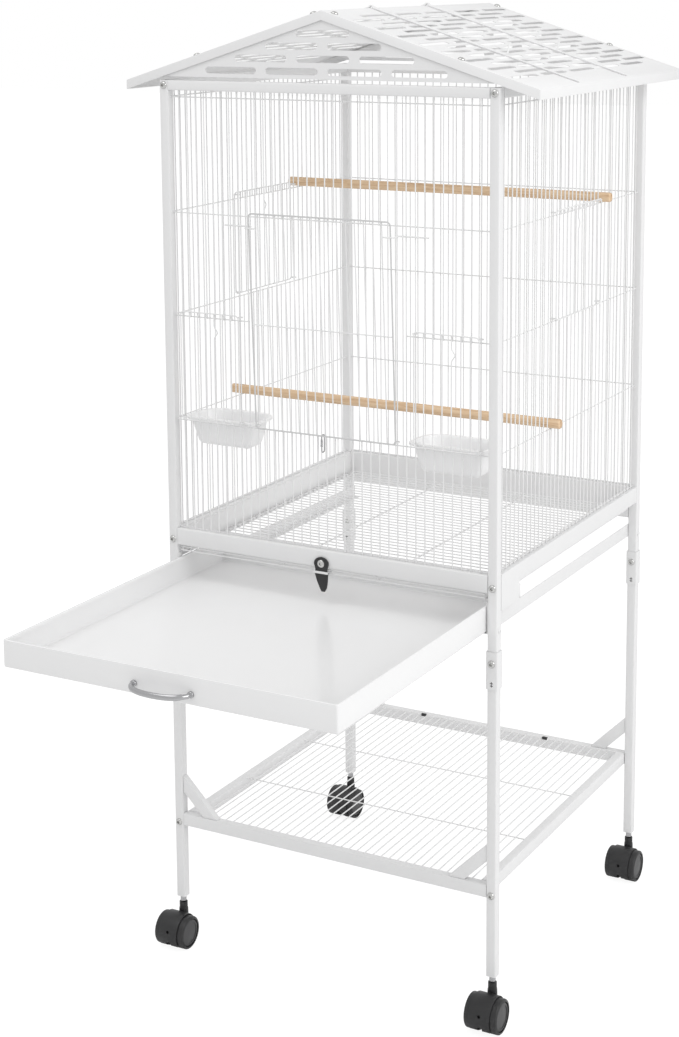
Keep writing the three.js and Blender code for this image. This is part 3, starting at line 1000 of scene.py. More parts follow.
@dataclass
class WireDoors:
    """Lifting doors: a bent frame wire with cross wires, loops round the wall's bars, and a finger kink."""

    foot_above: float = 3.0
    head_above: float = 9.0
    corner: float = 7.0
    kink_span: tuple[float, float] = (-31.0, -13.0)
    kink_aside: float = 7.0
    lean: float = 2.6
    loop_above: float = 6.0
    loop_half: float = 3.1
    loop_wire: Wire = Wire(1.0, 8, 3)
    hook_drop: float = 15.0
    hook_span: tuple[float, float, float] = (56.0, 6.0, -12.0)
    hook_depths: tuple[float, float] = (-2.9, -25.0)

    def loop(self, u: float, z: float) -> Object:
        """Bends a loop round a bar of the wall at u."""
        outside, inside, half = -DOOR_OFFSET - 1.6, self.loop_half, self.loop_half
        ring = [(u - half, outside, z), (u + half, outside, z), (u + half, inside, z), (u - half, inside, z)]
        return self.loop_wire.bent(ring, 2.8, closed=True)

    def rim(self, plane: WallPlane, doorway: Doorway) -> list[tuple[float, float, float]]:
        """Lists the corners of a door's frame wire."""
        foot, head = doorway.low + self.foot_above, doorway.high + self.head_above
        left, right = plane.u(doorway.start), plane.u(doorway.end)
        n = -DOOR_OFFSET - LAP
        return [(left, n, foot), (right, n, foot), (right, n, head), (left, n, head)]

    def leaf(self, plane: WallPlane, doorway: Doorway) -> Object:
        """Welds a door without its loops; only a small door has its frame wire in it.

        Args:
            plane: the wall that it hangs on.
            doorway: the opening that it covers.

        Returns:
            The door, upright in the wall's flat frame.
        """
        foot, head = doorway.low + self.foot_above, doorway.high + self.head_above
        left, right = plane.u(doorway.start), plane.u(doorway.end)
        n = -DOOR_OFFSET - LAP
        parts = [WALL_WIRE.bent(self.rim(plane, doorway), self.corner, closed=True)] if doorway.kink else []
        for number in range(doorway.start + 1, doorway.end):
            if number != doorway.kink:
                parts.append(WALL_WIRE.straight("z", foot, head, (plane.u(number), -DOOR_OFFSET)))
        for z in doorway.bars:
            parts.append(WALL_WIRE.straight("x", min(left, right), max(left, right), (n, z)))
        if doorway.kink is not None:
            u = plane.u(doorway.kink)
            low, high = (doorway.high + z for z in self.kink_span)
            tip = (u + self.kink_aside * plane.flip, -DOOR_OFFSET, (low + high) / 2)
            line = [(u, -DOOR_OFFSET, z) for z in (foot, low, high, head)]
            parts.append(WALL_WIRE.bent([*line[:2], tip, *line[2:]], 3.0))
        return Bench.join(parts)

    def build(self) -> None:
        """Builds the five doors and the guides that hold the main one."""
        hinge = Matrix.Translation((0, 0, SILL_WIRE))
        lean = hinge @ Matrix.Rotation(math.radians(self.lean), 4, "X") @ hinge.inverted()
        leaf = self.leaf(FRONT, MAIN_DOORWAY)
        frame_wire = FRAME_WIRE.bent(self.rim(FRONT, MAIN_DOORWAY), self.corner, closed=True)
        for part in (leaf, frame_wire):
            part.matrix_world = lean
            Bench.apply(part)
        ends = (FRONT.u(MAIN_DOORWAY.start), FRONT.u(MAIN_DOORWAY.end))
        feet = [self.loop(u, SILL_WIRE + self.loop_above) for u in ends]
        door = FRONT.stand(Bench.join([leaf, *feet]))
        settle(door, "lifting_door", WHITE_PAINT, "main_door", ["main_door"])
        # The frame wire takes grey painted shade in place of its real white.
        settle(FRONT.stand(frame_wire), "lifting_door_frame", DOOR_SHADE_PAINT, "main_door")

        small = [(FRONT, f"feeder_door_{side}", doorway) for side, doorway in FEEDER_DOORWAYS.items()]
        small += [(RIGHT, "nest_door_right", NEST_DOORWAY), (LEFT, "nest_door_left", NEST_DOORWAY)]
        for plane, node, doorway in small:
            ends = (plane.u(doorway.start), plane.u(doorway.end))
            levels = (doorway.low + self.loop_above, doorway.high + self.loop_above)
            loops = [self.loop(u, z) for u in ends for z in levels]
            door = plane.stand(Bench.join([self.leaf(plane, doorway), *loops]))
            settle(door, node + "_leaf", WHITE_PAINT, node, [node])

        z = HEAD_WIRE - self.hook_drop
        far, bend, tip = (FRONT.u(MAIN_DOORWAY.end) + x for x in self.hook_span)
        near, out = self.hook_depths
        for side, sign in (("left", -1), ("right", 1)):
            line = [(far, near), (bend, near), (bend, out), (tip, out)]
            hook = FRAME_WIRE.bent([(sign * x, y, z) for x, y in line], 4.0)
            settle(FRONT.stand(hook), f"door_hook_{side}", WHITE_PAINT, nodes=[f"door_guide_{side}"])


@dataclass
class SlottedRoof:
    """Two folded roof panels and two gable sheets with staggered slots, wire stays, and screws."""

    half_width: float = 364.5
    ridge: float = 1592.0
    eave: float = 1479.0
    sheet: float = 1.2
    trim: float = 15.0
    gable_foot: float = 1486.0
    slot_length: float = 94.0
    slot_height: float = 11.0
    pitch: float = 111.0
    row: float = 19.5
    first_row: float = 30.0
    fold: float = 1.4
    gable_row_up: float = 6.0
    gable_inset: float = 3.0
    gable_drop: float = 2.2
    row_slots: int = 5
    row_pairs: int = 8
    gable_counts: tuple[int, ...] = (4, 3, 2, 1)
    stay_places: tuple[float, float] = (160.0, 360.0)
    stay_end: float = 6.0
    stay_double: float = 238.0
    stay_gap: float = 7.0
    stay_crown: float = 5.0
    screw: tuple[float, float, float] = (5.6, 3.6, 3.0)
    screw_inset: float = 9.5
    screw_places: tuple[float, float] = (18.5, 233.0)

    @property
    def slope(self) -> float:
        """Returns the angle of the roof in radians."""
        return math.atan2(self.ridge - self.eave, self.half_width)

    @property
    def run(self) -> float:
        """Returns the length of the slope from ridge to eave."""
        return math.hypot(self.ridge - self.eave, self.half_width)

    def on_slope(self, u: float, v: float, w: float, side: int) -> tuple[float, float, float]:
        """Finds a place on the roof.

        Args:
            u: how far down from the ridge.
            v: how far back.
            w: how far above the sheet.
            side: 1 for the right-hand slope and -1 for the left.

        Returns:
            Its coordinates.
        """
        x = u * math.cos(self.slope) + w * math.sin(self.slope)
        return (side * x, v, self.ridge - u * math.sin(self.slope) + w * math.cos(self.slope))

    def slot_cutter(self) -> Object:
        """Makes the punch of one slot, long in x, about the origin and through the x-y plane."""
        half, across = self.slot_length / 2, self.slot_height / 2
        punch = Bench.block((-half, -across, -9), (half, across, 9))
        Bench.pick(punch, Kind.EDGE, lambda edge: abs(edge.verts[0].co.z - edge.verts[1].co.z) > 1)
        Bench.round_over(across * 0.98, 5)
        Bench.done()
        return punch

    def slope_slots(self) -> Object:
        """Lays out the punches of one slope, flat, with u along x and v along y."""
        punch = self.slot_cutter()
        turned = Bench.copy(punch, Matrix.Rotation(math.pi / 2, 4, "Z"))
        bpy.data.objects.remove(punch)
        rows = []
        for odd, shift in ((0, self.pitch / 4), (1, -self.pitch / 4)):
            u = self.first_row + self.slot_height / 2 + odd * self.row
            place = Matrix.Translation((u, DEPTH / 2 - 2 * self.pitch + shift, 0))
            group = Bench.repeat(Bench.copy(turned, place), self.row_slots, (0, self.pitch, 0))
            rows.append(Bench.repeat(group, self.row_pairs, (2 * self.row, 0, 0)))
        bpy.data.objects.remove(turned)
        return Bench.join(rows)

    def panel(self) -> Object:
        """Folds and punches the right-hand panel."""
        middle = (self.half_width / 2, DEPTH / 2, (self.ridge + self.eave) / 2)
        panel = Bench.sheet((self.run, DEPTH), middle, (0, self.slope, 0))
        Bench.pick(panel, Kind.EDGE, lambda edge: (edge.verts[0].co.x + edge.verts[1].co.x) / 2 > 1)
        Bench.extrude((0, 0, -self.trim))
        Bench.done()
        Bench.face_up(Bench.weld(panel))
        Bench.soften(panel, self.fold, 2)
        Bench.thicken(panel, self.sheet)
        slots = self.slope_slots()
        slots.matrix_world = Matrix.Translation((0, 0, self.ridge)) @ Matrix.Rotation(self.slope, 4, "Y")
        Bench.apply(slots)
        return Bench.cut(panel, slots)

    def gable(self) -> Object:
        """Cuts and punches a gable sheet that faces -y, with its outer face at y = 0."""
        top = self.ridge - self.sheet - self.gable_drop
        half = (top - self.gable_foot) * self.half_width / (self.ridge - self.eave)
        middle = (0, 0, (top + self.gable_foot) / 2)
        gable = Bench.sheet((2 * half, top - self.gable_foot), middle, (math.pi / 2, 0, 0))
        Bench.pick(gable, Kind.VERT, lambda vert: vert.co.z > top - 1)
        bpy.ops.mesh.merge(type="CENTER")
        Bench.done()
        Bench.modify(gable, "SOLIDIFY", thickness=self.sheet, offset=-1)
        punch = self.slot_cutter()
        turned = Bench.copy(punch, Matrix.Rotation(math.pi / 2, 4, "X"))
        bpy.data.objects.remove(punch)
        rows = []
        for number, count in enumerate(self.gable_counts):
            z = self.gable_foot + self.gable_row_up + number * self.row + self.slot_height / 2
            place = Matrix.Translation((-(count - 1) / 2 * self.pitch, 0, z))
            rows.append(Bench.repeat(Bench.copy(turned, place), count, (self.pitch, 0, 0)))
        bpy.data.objects.remove(turned)
        return Bench.cut(gable, Bench.join(rows))

    def stay(self, v: float, side: int) -> Object:
        """Bends a wire stay: up from the eave, round a loop at the ridge, and back to a hooked end."""
        w, crown, back = STAY_WIRE.radius, self.stay_crown, v + self.stay_gap
        line = [(self.run - self.stay_end, v, w), (crown, v, w), (-1, (v + back) / 2, w + 3)]
        line += [(crown, back, w), (self.stay_double, back, w)]
        line += [(self.stay_double + 6, back + 7, w + 1), (self.stay_double - 14, back + 51, w + 9)]
        return STAY_WIRE.bent([self.on_slope(*point, side) for point in line], 4.0)

    def build(self) -> None:
        """Builds the roof with its stays and screws."""
        right = self.panel()
        left = Bench.copy(right, Matrix.Scale(-1, 4, (1, 0, 0)))
        settle(right, "roof_sheet_right", WHITE_PAINT, nodes=["roof_panel_right"])
        settle(left, "roof_sheet_left", WHITE_PAINT, nodes=["roof_panel_left"])
        gable = self.gable()
        back = Bench.copy(gable, Matrix.Translation((0, DEPTH - self.gable_inset - self.sheet, 0)))
        front = Bench.copy(gable, Matrix.Translation((0, self.gable_inset, 0)))
        bpy.data.objects.remove(gable)
        settle(front, "gable_sheet_front", WHITE_PAINT, nodes=["gable_front"])
        settle(back, "gable_sheet_back", WHITE_PAINT, nodes=["gable_back"])

        screw = Bench.dome(*self.screw)
        for side, sign in (("left", -1), ("right", 1)):
            for number, v in enumerate(self.stay_places, 1):
                settle(self.stay(v, sign), f"roof_stay_{side}_{number}", WHITE_PAINT)
            for end, y in (("front", self.screw_inset), ("back", DEPTH - self.screw_inset)):
                for level, x in zip(("ridge", "eave"), self.screw_places):
                    place = Matrix.Translation(self.on_slope(x / math.cos(self.slope), y, 0, sign))
                    turn = Matrix.Rotation(sign * self.slope, 4, "Y")
                    settle(Bench.copy(screw, place @ turn), f"roof_screw_{side}_{end}_{level}", BOLT_ZINC)
        bpy.data.objects.remove(screw)


@dataclass
class LitterTray:
    """The pulled-out tray, folded from sheet with a turned-in rim, and its bow handle."""

    half_width: float = 281.0
    near: float = -466.0
    length: float = 600.0
    floor: float = 645.6
    height: float = 42.0
    sheet: float = 1.2
    rim: float = 4.0
    hem: float = 6.0
    bend: float = 3.5
    handle_wire: Wire = Wire(3.6, 16, 6)
    handle_pad: float = 4.9
    handle_half: float = 48.0
    handle_reach: float = 29.0
    handle_z: float = 662.0

    def pan(self) -> Object:
        """Folds the pan."""
        far, top = self.near + self.length, self.floor + self.height
        middle = (0, (self.near + far) / 2, self.floor)
        pan = Bench.block((-self.half_width, self.near, self.floor), (self.half_width, far, top))
        Bench.pick(pan, Kind.FACE, lambda face: face.normal.z > 0.9)
        bpy.ops.mesh.delete(type="FACE")
        Bench.pick(pan, Kind.EDGE, lambda edge: not edge.is_boundary)
        Bench.round_over(self.bend, 4)
        Bench.pick(pan, Kind.EDGE, lambda edge: edge.is_boundary)
        Bench.extrude((0, 0, 0))
        shrink = (1 - self.rim / self.half_width, 1 - 2 * self.rim / self.length, 1)
        Bench.resize(shrink, middle)
        Bench.extrude((0, 0, -self.hem))
        Bench.done()
        Bench.weld(pan)
        lowest = min(pan.data.polygons, key=lambda polygon: polygon.center.z)
        if lowest.normal.z > 0:
            Bench.pick(pan, Kind.FACE, lambda face: True)
            bpy.ops.mesh.flip_normals()
            Bench.done()
        Bench.soften(pan, 0.8, 2, angle=60)
        return Bench.thicken(pan, self.sheet)

    def bow(self) -> Object:
        """Bends the handle and puts a foot under each end."""
        foot = self.near - GAP
        half, reach, z = self.handle_half, self.handle_reach, self.handle_z
        right = [(half, foot), (half, foot - 8)]
        right += [(half * 0.82, foot - reach * 0.7), (half * 0.42, foot - reach * 0.95)]
        line = [(-x, y) for x, y in right] + [(0, foot - reach)] + [(x, y) for x, y in reversed(right)]
        bar = self.handle_wire.bent([(x, y, z) for x, y in line], 9.0)
        Bench.pick(bar, Kind.VERT, lambda vert: abs(vert.co.x) < half * 0.86)
        Bench.resize((1, 1, 1.25), (0, 0, z))
        Bench.done()
        feet = []
        for sign in (-1, 1):
            pad = Bench.cylinder(self.handle_pad, 4.0, (sign * half, foot - 2.0, z), "y", 24)
            Bench.pick(pad, Kind.FACE, lambda face: face.normal.y < -0.9)
            Bench.round_over(1.4, 3)
            Bench.done()
            feet.append(pad)
        return Bench.join([bar, *feet])

    def build(self) -> None:
        """Builds the pan and its handle."""
        settle(self.pan(), "litter_pan", TRAY_PAINT, "tray", ["tray"])
        settle(self.bow(), "bow_handle", CHROME, "tray", ["tray_handle"])


@dataclass
class TurnLatch:
    """The black turning latch under the front rail, with a metal strap across its neck and a screw."""

    x: float = -7.0
    z: float = 716.0
    head: tuple[float, float] = (13.0, 10.5)
    sheet: float = 3.0
    cut: float = 0.55
    neck: tuple[tuple[float, float, float], ...] = (
        (-16.0, -12.0, 12.0),
        (-30.0, -7.5, 11.0),
        (-40.0, -3.0, 9.5),
    )
    tip: float = -46.0
    tip_share: float = 0.45
    strap: tuple[float, float, float, float] = (-14.0, 13.0, -16.5, -12.5)
    strap_sheet: float = 0.9
    pin_span: tuple[float, float] = (8.0, 19.0)
    pin_drop: float = 11.0
    screw: tuple[float, float, float] = (6.2, 2.4, 2.0)

    def end_span(self, plate: Object) -> tuple[float, float]:
        """Returns the middle and width of the selected end of the plate."""
        places = [vert.co.x for vert in bmesh.from_edit_mesh(plate.data).verts if vert.select]
        return (min(places) + max(places)) / 2, max(places) - min(places)

    def plate(self) -> Object:
        """Shapes the plate: a rounded head, and a neck that narrows to a rounded tip."""
        bpy.ops.object.select_all(action="DESELECT")
        facing = (math.pi / 2, 0, 0)
        bpy.ops.mesh.primitive_circle_add(vertices=40, radius=1, fill_type="NGON", rotation=facing)
        plate = bpy.context.object
        plate.scale = (*self.head, 1)
        Bench.apply(plate)
        level = -self.head[1]
        Bench.pick(plate, Kind.VERT, lambda vert: vert.co.z < level * self.cut)
        Bench.resize((1, 1, 0), (0, 0, level))
        foot = level + 0.01
        Bench.pick(plate, Kind.EDGE, lambda edge: all(vert.co.z < foot for vert in edge.verts))
        for z, left, right in self.neck:
            Bench.extrude((0, 0, z - level))
            level = z
            middle, width = self.end_span(plate)
            Bench.resize(((right - left) / width, 1, 1), (middle, 0, level))
            bpy.ops.transform.translate(value=((left + right) / 2 - middle, 0, 0))
        Bench.extrude((0, 0, self.tip - level))
        Bench.resize((self.tip_share, 1, 1), (self.end_span(plate)[0], 0, self.tip))
        Bench.done()
        Bench.weld(plate)
        Bench.modify(plate, "SOLIDIFY", thickness=self.sheet, offset=0)
        Bench.weld(plate)
        return Bench.soften(plate, 0.7, 3, angle=60)

    def build(self) -> None:
        """Builds the latch, its strap, its pin and its screw."""
        plate = self.plate()
        plate.matrix_world = Matrix.Translation((self.x, -GAP - self.sheet / 2, self.z))
        settle(Bench.apply(plate), "latch_plate", BLACK_PLASTIC, "latch", ["latch"])
        front = -GAP - self.sheet
        left, right, low, high = self.strap
        near = (self.x + left, front - self.strap_sheet, self.z + low)
        strap = Bench.soften(Bench.block(near, (self.x + right, front, self.z + high)), 0.35, 2)
        settle(strap, "latch_strap", WHITE_PAINT, "latch")
        start, end = self.pin_span
        pin = Wire(0.9).straight("x", self.x + start, self.x + end, (front + 1.2, self.z - self.pin_drop))
        settle(pin, "latch_pin", CHROME, "latch")
        head = Bench.dome(*self.screw)
        face = Matrix.Translation((self.x, front - 0.05, self.z)) @ Matrix.Rotation(math.pi / 2, 4, "X")
        settle(Bench.copy(head, face), "latch_screw_head", BOLT_ZINC, nodes=["latch_screw"])
        bpy.data.objects.remove(head)


@dataclass
class WireGrids:
    """The grate over the tray and the grille of the shelf."""

    grate_z: float = 700.0
    grate_half: float = 279.0
    grate_span: tuple[float, float] = (3.8, 592.7)
    grate_rows: int = 39
    grate_bars: tuple[float, ...] = (-276.0, -88.0, 88.0, 276.0)
    lip_z: float = 706.2
    shelf_z: float = 232.5
    shelf_reach: float = 267.4
    shelf_gaps: int = 36
    shelf_bars: tuple[float, float] = (188.0, 386.0)

    def grate(self) -> Object:
        """Welds the grate, with its bars turned up at the front under a second wire."""
        start, end = self.grate_span
        step = (end - start) / (self.grate_rows - 1)
        span = (-self.grate_half, self.grate_half)
        parts = [WALL_WIRE.row("x", span, (start, self.grate_z), self.grate_rows, (0, step, 0))]
        parts.append(WALL_WIRE.straight("x", *span, (start - 0.6, self.lip_z)))
        for x in self.grate_bars:
            low = self.grate_z - LAP
            line = [(x, end + 1.2, low), (x, start + 1.8, low), (x, start + 1.8, self.lip_z + 1.6)]
            parts.append(FRAME_WIRE.bent(line, 3.0))
        return Bench.join(parts)

    def grille(self) -> Object:
        """Welds the grille of the shelf."""
        step = 2 * self.shelf_reach / self.shelf_gaps
        span = (TUBE + GAP, DEPTH - TUBE - GAP)
        first = (step - self.shelf_reach, self.shelf_z)
        parts = [WALL_WIRE.row("y", span, first, self.shelf_gaps - 1, (step, 0, 0))]
        reach = self.shelf_reach
        for y in self.shelf_bars:
            parts.append(WALL_WIRE.straight("x", -reach, reach, (y, self.shelf_z - LAP)))
        return Bench.join(parts)

    def build(self) -> None:
        """Builds both grids."""
        settle(self.grate(), "tray_grate", WHITE_PAINT, nodes=["grate"])
        settle(self.grille(), "shelf_wires", WHITE_PAINT, nodes=["shelf_grille"])


@dataclass
class Perches:
    """Two beech dowels with bevelled ends, each slit at both ends to straddle a wire."""

    radius: float = 8.0
    reach: float = 310.0
    bevel: float = 2.5
    slit: float = 3.4
    slit_depth: float = 26.0
    places: dict[str, tuple[int, float]] = field(
        default_factory=lambda: {"perch_upper": (26, HEAD_WIRE), "perch_lower": (13, SILL_WIRE)}
    )

    def dowel(self) -> Object:
        """Turns and slits one dowel about the origin."""
        dowel = Bench.cylinder(self.radius, 2 * self.reach, (0, 0, 0), "x", 40)
        Bench.pick(dowel, Kind.FACE, lambda face: abs(face.normal.x) > 0.9)
        Bench.round_over(self.bevel, 3)
        Bench.done()
        for end in (-1, 1):
            inner, outer = sorted((end * (self.reach - self.slit_depth), end * (self.reach + 2)))
            gap = Bench.block((inner, -self.slit / 2, -20), (outer, self.slit / 2, 20))
            Bench.cut(dowel, gap)
        return dowel

    def build(self) -> None:
        """Sets both perches on the wires of the side walls."""
        dowel = self.dowel()
        for node, (number, level) in self.places.items():
            place = (0, DEPTH / 2 + RIGHT.u(number), level + 1.3 + GAP + self.radius)
            settle(Bench.copy(dowel, Matrix.Translation(place)), node + "_dowel", BEECH, nodes=[node])
        bpy.data.objects.remove(dowel)


@dataclass
class FeederCups:
    """Two milky plastic cups with tapered sides and a turned-down rim, behind the feeder doors."""

    x: float = 206.0
    width: float = 138.0
    depth: float = 82.0
    height: float = 48.0
    wall: float = 1.6
    flange: float = 6.0
    skirt: float = 4.0
    front: float = WALL_INSET + LAP + 1.3 + 2.0
    top: float = SILL_WIRE + 5.0
    back_corner: float = 36.0
    front_corner: float = 16.0
    foot_round: float = 7.0
    steps: tuple[tuple[float, float, float], ...] = (
        (0.12, 0.94, 0.94),
        (0.5, 0.9, 0.9),
        (0.38, 0.903546, 0.874704),
    )

    def cup(self) -> Object:
        """Models one cup about x = 0."""
        middle = (0, self.front + self.depth / 2, self.top)
        cup = Bench.sheet((self.width, self.depth), middle)
        Bench.pick(cup, Kind.VERT, lambda vert: vert.co.y > middle[1])
        Bench.round_over(self.back_corner, 8, corners=True)
        Bench.pick(cup, Kind.VERT, lambda vert: vert.co.y < self.front + 1)
        Bench.round_over(self.front_corner, 6, corners=True)
        Bench.pick(cup, Kind.FACE, lambda face: True)
        bpy.ops.mesh.inset(thickness=self.flange)
        for share, across, along in self.steps:
            Bench.extrude((0, 0, -(self.height - self.wall) * share))
            Bench.resize((across, along, 1), middle)
        floor_z = self.top - self.height + self.wall
        Bench.pick(cup, Kind.EDGE, lambda edge: all(abs(v.co.z - floor_z) < 0.5 for v in edge.verts))
        Bench.round_over(self.foot_round, 4)
        Bench.pick(cup, Kind.EDGE, lambda edge: edge.is_boundary)
        Bench.extrude((0, 0, -self.skirt))
        Bench.done()
        Bench.face_up(cup)
        Bench.thicken(cup, self.wall)
        return Bench.soften(cup, 0.5, 2, angle=60)

    def build(self) -> None:
        """Sets one cup behind each feeder door."""
        cup = self.cup()
        for side, sign in (("left", -1), ("right", 1)):
            made = Bench.copy(cup, Matrix.Translation((sign * self.x, 0, 0)))
            settle(made, f"hanging_cup_{side}", CUP_PLASTIC, nodes=[f"feeder_cup_{side}"])
        bpy.data.objects.remove(cup)


@dataclass
class SnapHook:
    """A small snap hook on the wire below the main door: a bent ring with a sprung gate."""

    x: float = -8.0
    y: float = WALL_INSET + LAP
    top: float = 920.2
    length: float = 19.5
    half: float = 4.45
    wire: Wire = Wire(1.05, 10, 6)

    def build(self) -> None:
        """Builds the ring and its gate."""
        high, low = self.top + self.half, self.top - self.length - self.half
        near, far = self.y - self.half, self.y + self.half
        corners = [(self.x, near, low), (self.x, near, high), (self.x, far, high), (self.x, far, low)]
        ring = self.wire.bent(corners, 4.3, closed=True)
        gate = Bench.cylinder(1.7, 12.0, (self.x, near, self.top - 8.5), "z", 16)
        Bench.pick(gate, Kind.FACE, lambda face: abs(face.normal.z) > 0.9)
        Bench.round_over(0.5, 2)
        Bench.done()
        pin = Bench.cylinder(0.8, 4.6, (self.x, near, self.top - 13.0), "x", 12)
        Bench.pick(pin, Kind.FACE, lambda face: abs(face.normal.x) > 0.9)
        Bench.round_over(0.25, 1)
        Bench.done()
        settle(Bench.join([ring, gate, pin]), "snap_hook_ring", CHROME, "clip", ["snap_hook"])


@dataclass
class TwinCasters:
    """Four twin-wheel casters: a hood over the treads, two wheels with side discs, and a stem."""

    radius: float = 28.0
    trail: float = 22.0
    inner: float = 6.0
    outer: float = 27.5
    disc_radius: float = 22.5
    hood_inner: float = 28.6
    hood_outer: float = 30.4
    hood_half: float = 18.0
    hood_from: float = -38.0
    hood_to: float = 150.0
    hood_holes: tuple[tuple[float, float], ...] = ((14.0, 2.6), (-30.0, 4.2))
    tread_round: float = 1.8
    disc_depth: float = 2.6
    web_radius: float = 25.5
    web: float = 11.0
    neck_radius: float = 8.0
    neck_middle: float = 44.0
    neck_steps: tuple[tuple[float, float], ...] = ((10.0, 0.97), (3.0, 0.93), (1.0, 0.97), (9.0, 1.0))
    stem_radius: float = 5.2
    stem_middle: float = 78.0
    sleeve: float = 28.0
    axle_radius: float = 3.0

    def wheel(self, side: int) -> Object:
        """Models one wheel, with a recess for its disc.

        Args:
            side: 1 for the right-hand wheel and -1 for the left.

        Returns:
            The new object.
        """
        width = self.outer - self.inner
        place = (side * (self.inner + width / 2), -self.trail, self.radius)
        wheel = Bench.cylinder(self.radius, width, place, "x", 48)
        Bench.pick(wheel, Kind.FACE, lambda face: abs(face.normal.x) > 0.9)
        Bench.round_over(self.tread_round, 3)
        Bench.pick(wheel, Kind.FACE, lambda face: face.normal.x * side > 0.9)
        bpy.ops.mesh.inset(thickness=self.radius - self.tread_round - self.disc_radius)
        Bench.extrude((-side * self.disc_depth, 0, 0))
        Bench.done()
        return wheel

    def disc(self, side: int) -> Object:
        """Models the dished disc in a wheel's side."""
        place = (side * (self.outer - 1.5), -self.trail, self.radius)
        disc = Bench.cylinder(self.disc_radius - GAP, self.disc_depth, place, "x", 48)
        Bench.pick(disc, Kind.FACE, lambda face: face.normal.x * side > 0.9)
        Bench.round_over(0.9, 2)
        Bench.pick(disc, Kind.FACE, lambda face: face.normal.x * side > 0.98 and len(face.verts) > 8)
        bpy.ops.mesh.inset(thickness=3.0)
        Bench.extrude((-side * 0.8, 0, 0))
        bpy.ops.mesh.inset(thickness=1.0)
        bpy.ops.mesh.inset(thickness=12.0)
        bpy.ops.transform.translate(value=(side * 0.7, 0, 0))
        Bench.done()
        return disc

    def ray(self, degrees: float) -> Vector:
        """Returns the direction from the axle that is this far above the level front."""
        angle = math.radians(degrees)
        return Vector((0, -math.cos(angle), math.sin(angle)))

    def cover(self) -> Object:
        """Spins the cover over the treads round the axle, with a hole and a slot in its front."""
        middle = Vector((0, -self.trail, self.radius))
        size = (2 * self.hood_half, self.hood_outer - self.hood_inner)
        place = middle + self.ray(self.hood_from) * (self.hood_outer + self.hood_inner) / 2
        cover = Bench.sheet(size, place, (math.pi - math.radians(self.hood_from), 0, 0))
        Bench.pick(cover, Kind.FACE, lambda face: True)
        sweep = math.radians(self.hood_to - self.hood_from)
        bpy.ops.mesh.spin(steps=28, angle=sweep, center=middle, axis=(1, 0, 0))
        Bench.done()
        Bench.weld(cover)
        Bench.soften(cover, 0.7, 2, angle=60)
        for degrees, hole in self.hood_holes:
            spot = middle + self.ray(degrees) * self.hood_outer
            Bench.cut(cover, Bench.cylinder(hole, 12, spot, "y", 20))
        return cover

    def hood(self) -> Object:
        """Joins the cover, the web between the wheels and the turned neck."""
        web = Bench.cylinder(self.web_radius, self.web, (0, -self.trail, self.radius), "x", 40)
        Bench.pick(web, Kind.FACE, lambda face: abs(face.normal.x) > 0.9)
        Bench.round_over(1.0, 2)
        Bench.done()
        neck = Bench.cylinder(self.neck_radius, 8.0, (0, 0, self.neck_middle), "z", 32)
        Bench.pick(neck, Kind.FACE, lambda face: face.normal.z > 0.9)
        for rise, shrink in self.neck_steps:
            Bench.extrude((0, 0, rise))
            Bench.resize((shrink, shrink, 1), (0, 0, 0))
        Bench.round_over(0.6, 2)
        Bench.done()
        return Bench.join([self.cover(), web, neck])

    def stem(self) -> Object:
        """Models the plated stem between the hood and the leg, with its sleeve inside the leg."""
        stem = Bench.cylinder(self.stem_radius, 10.0, (0, 0, self.stem_middle), "z", 24)
        Bench.pick(stem, Kind.FACE, lambda face: face.normal.z > 0.9)
        Bench.extrude((0, 0, 0.5))
        Bench.resize((1.2, 1.2, 1), (0, 0, 0))
        Bench.extrude((0, 0, self.sleeve))
        Bench.round_over(0.8, 2)
        Bench.done()
        return stem

    def build(self) -> None:
        """Models one caster and copies it under each leg."""
        axle = Bench.cylinder(self.axle_radius, 2 * self.inner + 2, (0, -self.trail, self.radius), "x", 16)
        Bench.pick(axle, Kind.FACE, lambda face: abs(face.normal.x) > 0.9)
        Bench.round_over(0.4, 1)
        Bench.done()
        wheels = Bench.join([self.wheel(1), self.wheel(-1), axle])
        discs = Bench.join([self.disc(1), self.disc(-1)])
        hood, stem = self.hood(), self.stem()
        for corner, (x, y) in CORNERS.items():
            place = Matrix.Translation((x, y, 0))
            roll, swivel = f"wheels_{corner}", f"caster_{corner}"
            made = Bench.copy(wheels, place)
            settle(made, f"twin_wheels_{corner}", BLACK_PLASTIC, roll, [f"caster_wheels_{corner}"])
            settle(Bench.copy(discs, place), f"wheel_discs_{corner}", GREY_DISC, roll)
            made = Bench.copy(hood, place)
            settle(made, f"caster_hood_{corner}", BLACK_PLASTIC, swivel, [f"caster_body_{corner}"])
            settle(Bench.copy(stem, place), f"caster_stem_{corner}", CHROME, swivel)
        for obj in (wheels, discs, hood, stem):
            bpy.data.objects.remove(obj)


